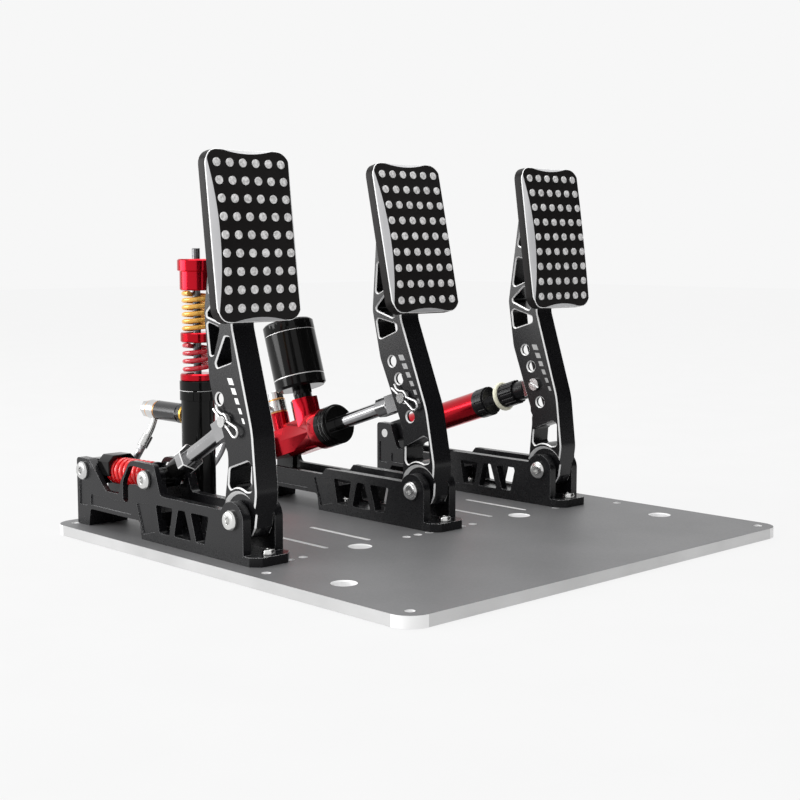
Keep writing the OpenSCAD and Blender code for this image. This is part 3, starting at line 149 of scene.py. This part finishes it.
RED_COAT = finish("red_powder_coat", (0.68, 0.008, 0.010), (0.76, 0.010, 0.013), (0.18, 0.26),
                  grain=300.0, bump=0.01, coat=0.4)
RED_WIRE = finish("red_wire", (0.46, 0.006, 0.018), (0.54, 0.008, 0.024), (0.18, 0.26),
                  grain=300.0, bump=0.01, coat=0.4)
GOLD = finish("gold_wire", (0.72, 0.36, 0.05), (0.82, 0.46, 0.09), (0.20, 0.32), metal=0.35,
              bump=0.01, coat=0.3)
COPPER = finish("copper_washer", (0.60, 0.28, 0.10), (0.72, 0.38, 0.14), (0.24, 0.38), metal=0.9)
IVORY = finish("ivory_ring", (0.80, 0.78, 0.60), (0.88, 0.87, 0.70), (0.35, 0.48))
PLATE = finish("plate_satin", (0.135, 0.135, 0.138), (0.155, 0.155, 0.158), (0.42, 0.56), metal=0.25,
               grain=700.0)
PLATE_EDGE = finish("plate_edge", grey(0.52), grey(0.62), (0.30, 0.46), metal=0.8,
                    stretch=(0.05, 0.05, 3.0), bump=0.08)
HOLE_WALL = finish("hole_wall", grey(0.80), grey(0.90), (0.30, 0.46), metal=0.1)
MARK_WHITE = finish("mark_white", grey(0.72), grey(0.82), (0.45, 0.60), bump=0.01)
MARK_GREY = finish("mark_grey", grey(0.32), grey(0.40), (0.45, 0.60), bump=0.01)
DARK_STEEL = finish("dark_steel", (0.10, 0.10, 0.105), (0.16, 0.16, 0.165), (0.22, 0.34), metal=0.9)
SENSOR_GREY = finish("sensor_grey", (0.020, 0.020, 0.021), (0.034, 0.034, 0.035), (0.16, 0.24), metal=0.4)
GOLD_WASHER = finish("gold_washer", (0.62, 0.36, 0.04), (0.74, 0.46, 0.07), (0.16, 0.26), metal=0.9,
                     bump=0.01)
FORK = finish("fork_zinc", (0.34, 0.34, 0.345), (0.46, 0.46, 0.465), (0.12, 0.20), metal=1.0, bump=0.015)
RING = finish("pivot_ring", grey(0.84), grey(0.94), (0.30, 0.42), grain=1500.0)
BRAID = finish("hose_braid", (0.36, 0.36, 0.37), (0.62, 0.62, 0.63), (0.22, 0.5), metal=0.9,
               grain=1300.0, bump=0.5)

# Meshes and pieces

def settle(bm, mesh):
    """Smooth faces with sharp edges where two faces meet at more than a gentle angle."""
    for face in bm.faces:
        face.smooth = True
    for edge in bm.edges:
        edge.smooth = len(edge.link_faces) == 2 and edge.calc_face_angle(0.0) < SMOOTH_ANGLE
    bm.to_mesh(mesh)
    bm.free()


def made(name, verts, faces):
    mesh = bpy.data.meshes.new(name)
    mesh.from_pydata([tuple(v) for v in verts], [], faces)
    bm = bmesh.new()
    bm.from_mesh(mesh)
    bmesh.ops.recalc_face_normals(bm, faces=bm.faces)
    settle(bm, mesh)
    return mesh


def new_object(name, data):
    obj = bpy.data.objects.new(name, data)
    bpy.context.scene.collection.objects.link(obj)
    return obj


def add(name, mesh, body, mats):
    for mat in mats:
        mesh.materials.append(mat)
    obj = new_object(name, mesh)
    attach(obj, body)
    return obj


def stand_in(node, mesh, mats):
    """The piece that shows in place of a CAD node, on the node's own body."""
    obj = add(node + "_look", mesh, BODY[node], mats)
    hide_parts(node)
    return obj


def break_edges(bm, edges, width, slot, segments=1, clamp=False):
    bmesh.ops.bevel(bm, geom=edges, offset=width * MM, offset_type="OFFSET", segments=segments, profile=0.5,
                    affect="EDGES", clamp_overlap=clamp, material=slot)
    bm.normal_update()


def dress(node, mats, bevel=0.0, limit=40.0, segments=1, edge_slot=0, paint=None, chosen=None, before=None,
          more=None, after=None, clamp=True):
    """A copy of a CAD node with its flat faces merged, its edges broken and its faces painted."""
    mesh = frame["nodes"][node].data.copy()
    mesh.name = node + "_look"
    mesh.materials.clear()
    bm = bmesh.new()
    bm.from_mesh(mesh)
    bmesh.ops.remove_doubles(bm, verts=bm.verts, dist=WELD)
    bmesh.ops.dissolve_limit(bm, angle_limit=FLAT_ANGLE, verts=bm.verts, edges=bm.edges)
    bm.normal_update()
    if before:
        before(bm)
        bm.normal_update()
    for face in bm.faces:
        face.material_index = paint(face) if paint else 0
    if bevel:
        edges = [e for e in bm.edges if len(e.link_faces) == 2
                 and e.calc_face_angle(0.0) > math.radians(limit) and (chosen is None or chosen(e))]
        break_edges(bm, edges, bevel, edge_slot, segments, clamp)
    if more:
        more(bm)
    if after:
        for face in bm.faces:
            face.material_index = after(face)
    settle(bm, mesh)
    stand_in(node, mesh, mats)


def tube_mesh(name, path, radius, sides, first=Vector((1, 0, 0))):
    """A round tube along a list of points, its ring carried along without twist."""
    verts, faces = [], []
    count = len(path)
    normal = first
    for i, point in enumerate(path):
        tangent = (path[min(i + 1, count - 1)] - path[max(i - 1, 0)]).normalized()
        normal = (normal - normal.dot(tangent) * tangent).normalized()
        across = tangent.cross(normal)
        for k in range(sides):
            a = 2 * math.pi * k / sides
            verts.append(point + radius * (math.cos(a) * normal + math.sin(a) * across))
    for i in range(count - 1):
        for k in range(sides):
            m = (k + 1) % sides
            faces.append((i * sides + k, (i + 1) * sides + k, (i + 1) * sides + m, i * sides + m))
    faces.append(tuple(range(sides)))
    faces.append(tuple((count - 1) * sides + k for k in reversed(range(sides))))
    return made(name, verts, faces)


def scaled(mesh, matrix):
    mesh.transform(matrix @ Matrix.Scale(MM, 4))
    return mesh


# Frames of the pedals and struts

def at(x, y, z):
    return Matrix.Translation((x * MM, y * MM, z * MM))


def turned_x(angle):
    return Matrix.Rotation(angle, 4, "X")


def strut_matrix(pedal, start, end):
    """Frame that runs from start along its own +Y to end, in the pedal's plane."""
    slope = math.atan2(start[1] - end[1], end[0] - start[0])
    return at(PEDAL_X[pedal], *start) @ turned_x(-slope)


def arm_matrix(pedal):
    return at(PEDAL_X[pedal], *PIVOT) @ turned_x(-math.radians(LEAN[pedal]))


def pad_matrix(pedal):
    return arm_matrix(pedal) @ at(0, *PAD_FACE) @ turned_x(-math.radians(PAD_TILT))


def pin_at(pedal):
    place = (arm_matrix(pedal) @ at(0, *PIN_HOLE[pedal])).translation / MM
    return (place.y, place.z)


def on_slave(z):
    return at(*SLAVE, z)


clutch_frame = strut_matrix("clutch", TRUNNION, REAR_PIVOT)
brake_frame = strut_matrix("brake", pin_at("brake"), REAR_PIVOT)
throttle_frame = strut_matrix("throttle", pin_at("throttle"), REAR_PIVOT)
brake_reach = math.dist(pin_at("brake"), REAR_PIVOT)

# Arms: bright chamfers along the edges of the side faces, away from the pin holes, and a bright pivot cone

HOLE_KEEP = 5.0
EDGE_BREAK = 0.95
RIM_END = 11.6
RIM_DEGREES = 55
RIM_ANGLE, TIP_ANGLE = math.radians(RIM_DEGREES), math.radians(30)
LEVEL = 0.02
RECESS_FACE = 7.8
RECESS_FRONT = (-10.0, 4.5)
RECESS_SLACK = 0.01
WALL_TURN = 0.2
RING_R = 20.0
RING_TURN = (0.3, 0.95)


def dress_arm(pedal):
    place = arm_matrix(pedal)
    back = place.inverted()

    def level(edge, x):
        a, b = [(back @ v.co).x / MM for v in edge.verts]
        return abs(a - b) < LEVEL and abs(abs(a) - x) < LEVEL

    def rim(edge):
        middle = back @ (edge.verts[0].co + edge.verts[1].co) / 2 / MM
        return level(edge, ARM_HALF) and middle.z > RIM_END and all(
            math.hypot(middle.y - h[0], middle.z - h[1]) > HOLE_KEEP for h in ARM_HOLES[pedal])

    def split(bm):
        """Lays folded tips of the rims flat, then cuts the arm where its bright rims end."""
        ends = {}
        for vert in bm.verts:
            rims = [e for e in vert.link_edges
                    if level(e, ARM_HALF) and e.calc_face_angle(0.0) > RIM_ANGLE]
            if len(rims) == 2:
                ends[vert] = [e.other_vert(vert) for e in rims]
        for vert in sorted(ends, key=lambda v: -sum((end.co - v.co).length for end in ends[v])):
            a, b = [end.co for end in ends[vert]]
            if (a - vert.co).angle(b - vert.co) < TIP_ANGLE:
                vert.co = (a + b) / 2
        for height in (RIM_END, RECESS_FRONT[1]):
            bmesh.ops.bisect_plane(bm, geom=bm.verts[:] + bm.edges[:] + bm.faces[:], dist=WELD,
                                   plane_co=place @ Vector((0, 0, height * MM)),
                                   plane_no=place.to_3x3() @ Vector((0, 0, 1)))

    def recess_rim(bm):
        rims = []
        for edge in bm.edges:
            ends = [back @ v.co / MM for v in edge.verts]
            walls = [face for face in edge.link_faces if abs(face.normal.x) < WALL_TURN]
            front = all(p.y < RECESS_FRONT[0] and p.z < RECESS_FRONT[1] + RECESS_SLACK for p in ends)
            if front and len(walls) == 1 and level(edge, RECESS_FACE):
                rims.append(edge)
        break_edges(bm, rims, EDGE_BREAK, 1)

    def cone(face):
        p = back @ face.calc_center_median() / MM
        slanted = RING_TURN[0] < abs(face.normal.x) < RING_TURN[1]
        return 2 if slanted and math.hypot(p.y, p.z) < RING_R else 0

    dress(pedal + "_arm", [BLACK, SILVER, RING], bevel=EDGE_BREAK, limit=RIM_DEGREES, edge_slot=1, paint=cone,
          chosen=rim, clamp=False, before=split, more=recess_rim)


# Pads: black crowned face with bright bevels, and studs with bright rims

RIM_LINE = 0.45
STUD_BREAK = 0.5
STUD_LEAST, STUD_EDGE = 0.06, 0.6
STUD_WALL = 4.0 * MM * MM
TOP_TURN, FRONT_TURN, BEVEL_TURN, SIDE_TURN = -0.9, -0.4, 0.5, 0.05


def crown(z):
    return PAD_CROWN_R - math.sqrt(PAD_CROWN_R ** 2 - z ** 2)


def dress_pad(pedal):
    back = pad_matrix(pedal).inverted()
    turn = back.to_3x3()

    def colour(face):
        p = back @ face.calc_center_median() / MM
        n = turn @ face.normal
        if p.y < crown(p.z) - STUD_LEAST:
            return 3 if n.y < TOP_TURN else 2
        return 1 if n.y < FRONT_TURN and max(abs(n.x), abs(n.z)) > BEVEL_TURN else 0

    def stud_rim(edge):
        points = [back @ v.co / MM for v in edge.verts]
        return all(p.y < crown(p.z) - STUD_EDGE for p in points)

    def outline(bm):
        rims = []
        for edge in bm.edges:
            depths = sorted((turn @ face.normal).y for face in edge.link_faces)
            if len(depths) == 2 and depths[0] < FRONT_TURN and abs(depths[1]) < SIDE_TURN:
                if all(abs((turn @ face.normal).y) > SIDE_TURN or face.calc_area() > STUD_WALL
                       for face in edge.link_faces):
                    rims.append(edge)
        break_edges(bm, rims, RIM_LINE, 2)

    dress(pedal + "_pad", [BLACK_PAD, PAD_BEVEL, STUD, STUD_TOP], bevel=STUD_BREAK, limit=50, segments=2,
          edge_slot=2, paint=colour, chosen=stud_rim, more=outline)


for pedal_name in PEDALS:
    dress_arm(pedal_name)
    dress_pad(pedal_name)
    dress(pedal_name + "_bearings", [STEEL])

# Bases: black, their bevelled edges painted light grey as a painted highlight, and a bright toe

TOE_LINE, TOE_TOP, TOE_BAND = -24.5 * MM, 14.5 * MM, 1.2 * MM
TOE_TURN = (0.2, 0.9)


def toe(face):
    p = face.calc_center_median()
    slanted = TOE_TURN[0] < face.normal.z < TOE_TURN[1]
    return 2 if slanted and p.y < TOE_LINE and abs(p.z - TOE_TOP) < TOE_BAND else face.material_index


for pedal_name in PEDALS:
    dress(pedal_name + "_base", [BLACK, EDGE_HIGHLIGHT, SILVER], bevel=0.45, limit=50, edge_slot=1, after=toe)

# Plate: satin top, bright machined edges and hole walls

PLATE_INNER = 180 * MM
PLATE_SIDE = 40 * MM * MM
FLAT_TURN = 0.95


def plate_colour(face):
    if abs(face.normal.z) > FLAT_TURN:
        return 0
    middle = face.calc_center_median()
    outside = max(abs(middle.x), abs(middle.y)) > PLATE_INNER
    return 1 if outside and face.calc_area() > PLATE_SIDE else 2


dress("base_plate", [PLATE, PLATE_EDGE, HOLE_WALL], bevel=0.5, limit=60, edge_slot=1, paint=plate_colour)

# Plain pieces: node, material, edge break

for part, mat, edge_break in [
        ("base_screws", STEEL, 0.2), ("pivot_shafts", STEEL, 0.25), ("rear_pins", STEEL, 0.25),
        ("clutch_pin", STEEL, 0.3), ("brake_pin", STEEL, 0.3), ("throttle_pin", STEEL, 0.3),
        ("clutch_rod_end", BLACK_GLOSS, 0.4), ("clutch_trunnion", STEEL, 0.25),
        ("clutch_plunger", BLACK, 0.3), ("brake_push_rod", CHROME, 0.2), ("master_piston", STEEL, 0.2),
        ("master_cylinder", RED, 0.5), ("reservoir_neck", BLACK_GLOSS, 0.4), ("master_banjo", STEEL, 0.3),
        ("slave_banjo", STEEL, 0.3), ("banjo_bolts", STEEL, 0.4), ("pressure_sensor", SENSOR_GREY, 0.5),
        ("slave_cylinder", BLACK_GLOSS, 0.3), ("slave_seat", RED, 0.0), ("slave_spacer", RED, 0.0),
        ("slave_top_cap", RED, 0.0), ("slave_centre_rod", DARK_STEEL, 0.3),
        ("throttle_knob", BLACK, 0.25), ("throttle_ring", IVORY, 0.3),
        ("throttle_rod", CHROME, 0.2), ("throttle_tube_cap", BLACK, 0.3), ("throttle_tube", RED, 0.4),
        ("throttle_eye", BLACK, 0.4)]:
    dress(part, [mat], bevel=edge_break, limit=45)

# The hood's inner corners lie close to its cut outer ones, so only its outer edges are broken
dress("clutch_spring_block", [BLACK_GLOSS], bevel=0.5, limit=45, chosen=lambda edge: edge.is_convex)

# Forks and locknuts with bright edges
for part in ("clutch_fork", "brake_fork", "throttle_fork", "clutch_locknut", "brake_locknut"):
    dress(part, [FORK, SILVER], bevel=0.6, limit=35, edge_slot=1)

# The washer against the slave cylinder is gold, the ones at the banjos copper
GOLD_LINE = 130 * MM
dress("crush_washers", [COPPER, GOLD_WASHER], bevel=0.2, limit=45,
      paint=lambda face: 1 if face.calc_center_median().y < GOLD_LINE else 0)

# Black turned pieces whose groove floors are bright

RESERVOIR_AHEAD, RESERVOIR_R = 51.15, 21.5
MASTER_CAP_R = 16.5
LOCK_RING_R = 13.7
GROOVE_DEPTH = (0.2, 1.0)
GROOVE_TURN = 0.3
reservoir_frame = brake_frame @ at(0, brake_reach - RESERVOIR_AHEAD, 0)


def groove_floor(matrix, axis, outer_r):
    """A rule that picks the faces a little inside a turned piece's outer radius."""
    back = matrix.inverted()

    def colour(face):
        along = abs((back.to_3x3() @ face.normal)[axis])
        points = [back @ v.co / MM for v in face.verts]
        far = max(math.hypot(*(p[i] for i in range(3) if i != axis)) for p in points)
        return 1 if along < GROOVE_TURN and GROOVE_DEPTH[0] < outer_r - far < GROOVE_DEPTH[1] else 0

    return colour


# Node, frame, number of the axis in that frame, outer radius, edge break
for part, matrix, axis, outer_r, edge_break in [
        ("reservoir", reservoir_frame, 2, RESERVOIR_R, 0.0),
        ("reservoir_lid", reservoir_frame, 2, RESERVOIR_R, 0.25),
        ("master_cap", brake_frame, 1, MASTER_CAP_R, 0.2),
        ("slave_lock_rings", on_slave(0), 2, LOCK_RING_R, 0.15)]:
    dress(part, [BLACK_GLOSS, SILVER], bevel=edge_break, limit=45, paint=groove_floor(matrix, axis, outer_r))

# Springs: the CAD's windings with fine rings

TURN_RINGS = 28
WIRE_SIDES = 14
SEAT_CLEAR = 0.2
SPRING_FRONT, BLOCK_FACE = 12.0, 68.537
LOWER_Z, UPPER_Z = 127.0, 157.9
THROTTLE_SPRING_AT, THROTTLE_SPRING_LEN = 91.5, 66.27
LAID = turned_x(-math.pi / 2)
SLAVE_START = Matrix.Rotation(math.radians(91), 4, "Z")


def helix(outer_d, height, turns, wire):
    radius = (outer_d - wire) / 2
    rise = height - wire - 2 * SEAT_CLEAR
    lift = wire / 2 + SEAT_CLEAR
    steps = int(turns * TURN_RINGS)
    end = 2 * math.pi * turns
    points = [Vector((radius * math.cos(end * i / steps), radius * math.sin(end * i / steps),
                      lift + rise * i / steps)) for i in range(steps + 1)]
    first = points[0] + Vector((0, -wire, 0))
    last = points[-1] + wire * Vector((-math.sin(end), math.cos(end), 0))
    return [first] + points + [last]


def spring(node, outer_d, height, turns, wire, matrix, mat):
    mesh = tube_mesh(node + "_look", helix(outer_d, height, turns, wire), wire / 2, WIRE_SIDES)
    obj = stand_in(node, scaled(mesh, matrix), [mat])
    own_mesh(obj)


spring("clutch_spring", outer_d=21.0, height=BLOCK_FACE - SPRING_FRONT, turns=9.0, wire=3.8,
       matrix=clutch_frame @ at(0, SPRING_FRONT, 0) @ LAID, mat=RED_COAT)
spring("slave_lower_spring", outer_d=22.8, height=23.5, turns=3.25, wire=3.6,
       matrix=on_slave(LOWER_Z) @ SLAVE_START, mat=RED_WIRE)
spring("slave_upper_spring", outer_d=22.8, height=31.6, turns=5.25, wire=3.6,
       matrix=on_slave(UPPER_Z) @ SLAVE_START, mat=GOLD)
spring("throttle_spring", outer_d=17.6, height=THROTTLE_SPRING_LEN, turns=8.0, wire=2.0,
       matrix=throttle_frame @ at(0, THROTTLE_SPRING_AT, 0) @ LAID, mat=STEEL)

# Spring clips on the clutch and brake pins: a straight leg, a loop, an arc round the pin and a tail

CLIP_TURN = math.radians(217)
CLIP_OUT = 13.0
CLIP_WIRE_R, CLIP_SIDES = 1.0, 12
CLIP_LEG = [(-13, 0), (-6, 0), (0, 0), (6, 0)]
CLIP_TAIL = [(-8, -2.4), (-12, -4.6)]
LOOP_AT, LOOP_R, LOOP_SWEEP, LOOP_STEPS = (14.0, -3.0), 3.6, (110, -110), 18
HUG_R, HUG_SWEEP, HUG_STEPS = 5.3, (-40, -140), 12


def arc(centre, radius, sweep, steps):
    angles = [math.radians(sweep[0] + (sweep[1] - sweep[0]) * i / steps) for i in range(steps + 1)]
    return [(centre[0] + radius * math.cos(a), centre[1] + radius * math.sin(a)) for a in angles]


def clip(pedal):
    path = (CLIP_LEG + arc(LOOP_AT, LOOP_R, LOOP_SWEEP, LOOP_STEPS)
            + arc((0, 0), HUG_R, HUG_SWEEP, HUG_STEPS) + CLIP_TAIL)
    mesh = tube_mesh(pedal + "_clip_look", [Vector((0, y, z)) for y, z in path], CLIP_WIRE_R, CLIP_SIDES)
    place = arm_matrix(pedal) @ at(-CLIP_OUT, *PIN_HOLE[pedal]) @ turned_x(CLIP_TURN)
    stand_in(pedal + "_clip", scaled(mesh, place), [STEEL])


clip("clutch")
clip("brake")

# Hose: the CAD's route with fine rings

HOSE_R, HOSE_SIDES, HOSE_STEPS = 3.0, 16, 8
HOSE_CLEAR, HOSE_LEAD, LEAD_POINTS = 0.1, 2.5, 3
SENSOR_OUT = 50.5
FITTING_Z = 94.5
EYE_MID = 6.0
STEM_R, STEM_BEND, FERRULE_LEN = 46.0, math.radians(27), 10.0
SLAVE_TURN, MASTER_TURN = math.radians(98), math.radians(153)
OUTLET_AHEAD, OUTLET_UP = 15.45, 26.0
# Shares of the way across, places behind the rear pivots and heights above the plate
HOSE_ROUTE = [(-0.023, -12, 49), (0.007, -6, 42), (0.068, 2, 35), (0.155, 9, 29), (0.277, 14, 24),
              (0.425, 16, 21), (0.573, 17, 20), (0.695, 16, 23), (0.782, 14, 31), (0.838, 11, 42),
              (0.864, 8, 53), (0.89, 5, 63), (0.921, 2.5, 71)]


def smooth_path(points, steps):
    """A Catmull-Rom curve through the points."""
    path = []
    n = len(points)
    for i in range(n - 1):
        a, b = points[max(i - 1, 0)], points[i]
        c, d = points[i + 1], points[min(i + 2, n - 1)]
        for s in range(steps):
            t = s / steps
            path.append(0.5 * (2 * b + (c - a) * t + (2 * a - 5 * b + 4 * c - d) * t * t
                               + (3 * b - a - 3 * c + d) * t ** 3))
    return path + [points[-1]]


def spun(p, a):
    return (p[0] * math.cos(a) - p[1] * math.sin(a), p[0] * math.sin(a) + p[1] * math.cos(a))


def lead(p, way):
    return [p + (HOSE_CLEAR + k * HOSE_LEAD) * way for k in range(LEAD_POINTS)]


stem_way = (math.cos(STEM_BEND), math.sin(STEM_BEND))
stem_end = (STEM_R * math.sin(STEM_BEND) + FERRULE_LEN * stem_way[0],
            STEM_R * (1 - math.cos(STEM_BEND)) + FERRULE_LEN * stem_way[1])
slave_eye = Vector((SLAVE[0], SLAVE[1] + SENSOR_OUT + EYE_MID, FITTING_Z))
slave_way, slave_end = spun(stem_way, SLAVE_TURN), spun(stem_end, SLAVE_TURN)
hose_start = slave_eye + Vector((slave_end[0], 0, -slave_end[1]))
master_end = spun(stem_end, MASTER_TURN)
ferrule_back = brake_reach - OUTLET_AHEAD + master_end[1]
ferrule_at = (brake_frame @ at(0, ferrule_back, OUTLET_UP + EYE_MID)).translation / MM
hose_end = Vector((PEDAL_X["brake"] + master_end[0], ferrule_at.y, ferrule_at.z))
hose_span = hose_end.x - hose_start.x
middle_points = [Vector((hose_start.x + share * hose_span, REAR_PIVOT[0] + y, PLATE_TOP + z))
                 for share, y, z in HOSE_ROUTE]
route = (lead(hose_start, Vector((slave_way[0], 0, -slave_way[1]))) + middle_points
         + lead(hose_end, Vector((-1, 0, 0)))[::-1])
hose_mesh = tube_mesh("brake_hose_look", smooth_path(route, HOSE_STEPS), HOSE_R, HOSE_SIDES,
                      first=Vector((0, 1, 0)))
stand_in("brake_hose", scaled(hose_mesh, Matrix.Identity(4)), [BRAID])

# Marks beside the pin holes: a row of slanted squares that get smaller downwards

MARK_ROW = {"clutch": ((8.4, 93.6), (-5.1, 67.7), 5), "brake": ((8.7, 101.6), (-6.6, 67.8), 6)}
MARK_ROW["throttle"] = MARK_ROW["brake"]
MARK_FINISH = {"clutch": MARK_WHITE, "brake": MARK_GREY, "throttle": MARK_GREY}
MARK_PROUD = 0.08
MARK_HALF_W, MARK_HALF_H = (2.7, 1.2), (2.2, 1.8)


def between(pair, share):
    return pair[0] + (pair[1] - pair[0]) * share


def marks(pedal):
    top, bottom, count = MARK_ROW[pedal]
    slant = (top[0] - bottom[0]) / (top[1] - bottom[1])
    verts, faces = [], []
    for i in range(count):
        share = i / (count - 1)
        y, z = between((top[0], bottom[0]), share), between((top[1], bottom[1]), share)
        half_w, half_h = between(MARK_HALF_W, share), between(MARK_HALF_H, share)
        b = len(verts)
        for x in (-ARM_HALF - MARK_PROUD, -ARM_HALF + MARK_PROUD):
            verts += [(x, y + sy * half_w + sz * half_h * slant, z + sz * half_h) for sy, sz in SQUARE]
        faces += [(b, b + 1, b + 2, b + 3), (b + 7, b + 6, b + 5, b + 4)]
        faces += [(b + k, b + 4 + k, b + 4 + (k + 1) % 4, b + (k + 1) % 4) for k in range(4)]
    mesh = scaled(made(pedal + "_marks", verts, faces), arm_matrix(pedal))
    add(pedal + "_marks", mesh, pedal + "_lever", [MARK_FINISH[pedal]])


for pedal_name in PEDALS:
    marks(pedal_name)

# Stage in metres: pale floor, plain world, soft lamps and the camera of the photograph

FLOOR_HALF, FLOOR_DROP, FLOOR_GLOW = 6.0, 0.0004, 0.87
CARD_HALF, CARD_H = 1.0, 1.2
CARD_AT, CARD_TURN = (0.80, -0.72, 0.02), math.radians(44)
WORLD_LIGHT = 0.93
VIEW_FROM = (-0.7604, -0.7773, 0.2220)
VIEW_YAW, VIEW_DIP = math.radians(43.76), math.radians(6.15)
SENSOR_W, LENS = 36.0, 64.05

paper = finish("floor_paper", grey(0.045), grey(0.050), (0.7, 0.8), grain=60.0, bump=0.0, spec=0.0)
paper.node_tree.nodes["Principled BSDF"].inputs["Emission Color"].default_value = (1, 1, 1, 1)
paper.node_tree.nodes["Principled BSDF"].inputs["Emission Strength"].default_value = FLOOR_GLOW
floor_mesh = made("floor", [(x * FLOOR_HALF, y * FLOOR_HALF, -FLOOR_DROP) for x, y in SQUARE], [(0, 1, 2, 3)])
floor_mesh.materials.append(paper)
floor = new_object("floor", floor_mesh)

# A dark card to the right of the camera, out of its sight, keeps the faces towards the driver dark
card_corners = [(-CARD_HALF, 0, 0), (CARD_HALF, 0, 0), (CARD_HALF, 0, CARD_H), (-CARD_HALF, 0, CARD_H)]
card_mesh = made("dark_card", card_corners, [(0, 1, 2, 3)])
card_mesh.materials.append(finish("card_black", grey(0.012), grey(0.02), (0.8, 0.9), spec=0.1))
card = new_object("dark_card", card_mesh)
card.location = CARD_AT
card.rotation_euler = (0, 0, CARD_TURN)
card.visible_camera = False

world = bpy.data.worlds.new("studio")
bpy.context.scene.world = world
world.use_nodes = True
world.node_tree.nodes["Background"].inputs["Color"].default_value = (1, 1, 1, 1)
world.node_tree.nodes["Background"].inputs["Strength"].default_value = WORLD_LIGHT


def facing(way):
    return way.to_track_quat("-Z", "Y").to_euler()


def lamp(name, place, aim, size, power):
    data = bpy.data.lights.new(name, "AREA")
    data.shape = "RECTANGLE"
    data.size, data.size_y = size
    data.energy = power
    obj = new_object(name, data)
    obj.location = place
    obj.rotation_euler = facing(Vector(aim) - Vector(place))


lamp("left_softbox", place=(-1.35, 1.0, 0.6), aim=(0, 0, 0.15), size=(1.2, 1.0), power=26)
lamp("top_softbox", place=(0.2, 0.3, 1.8), aim=(0, 0, 0.1), size=(1.6, 1.6), power=20)

camera_data = bpy.data.cameras.new("camera")
camera_data.sensor_width = SENSOR_W
camera_data.lens = LENS
camera = new_object("camera", camera_data)
camera.location = VIEW_FROM
camera.rotation_euler = facing(Vector((math.sin(VIEW_YAW) * math.cos(VIEW_DIP),
                                       math.cos(VIEW_YAW) * math.cos(VIEW_DIP), -math.sin(VIEW_DIP))))
bpy.context.scene.camera = camera
bpy.context.scene.view_settings.view_transform = "Standard"
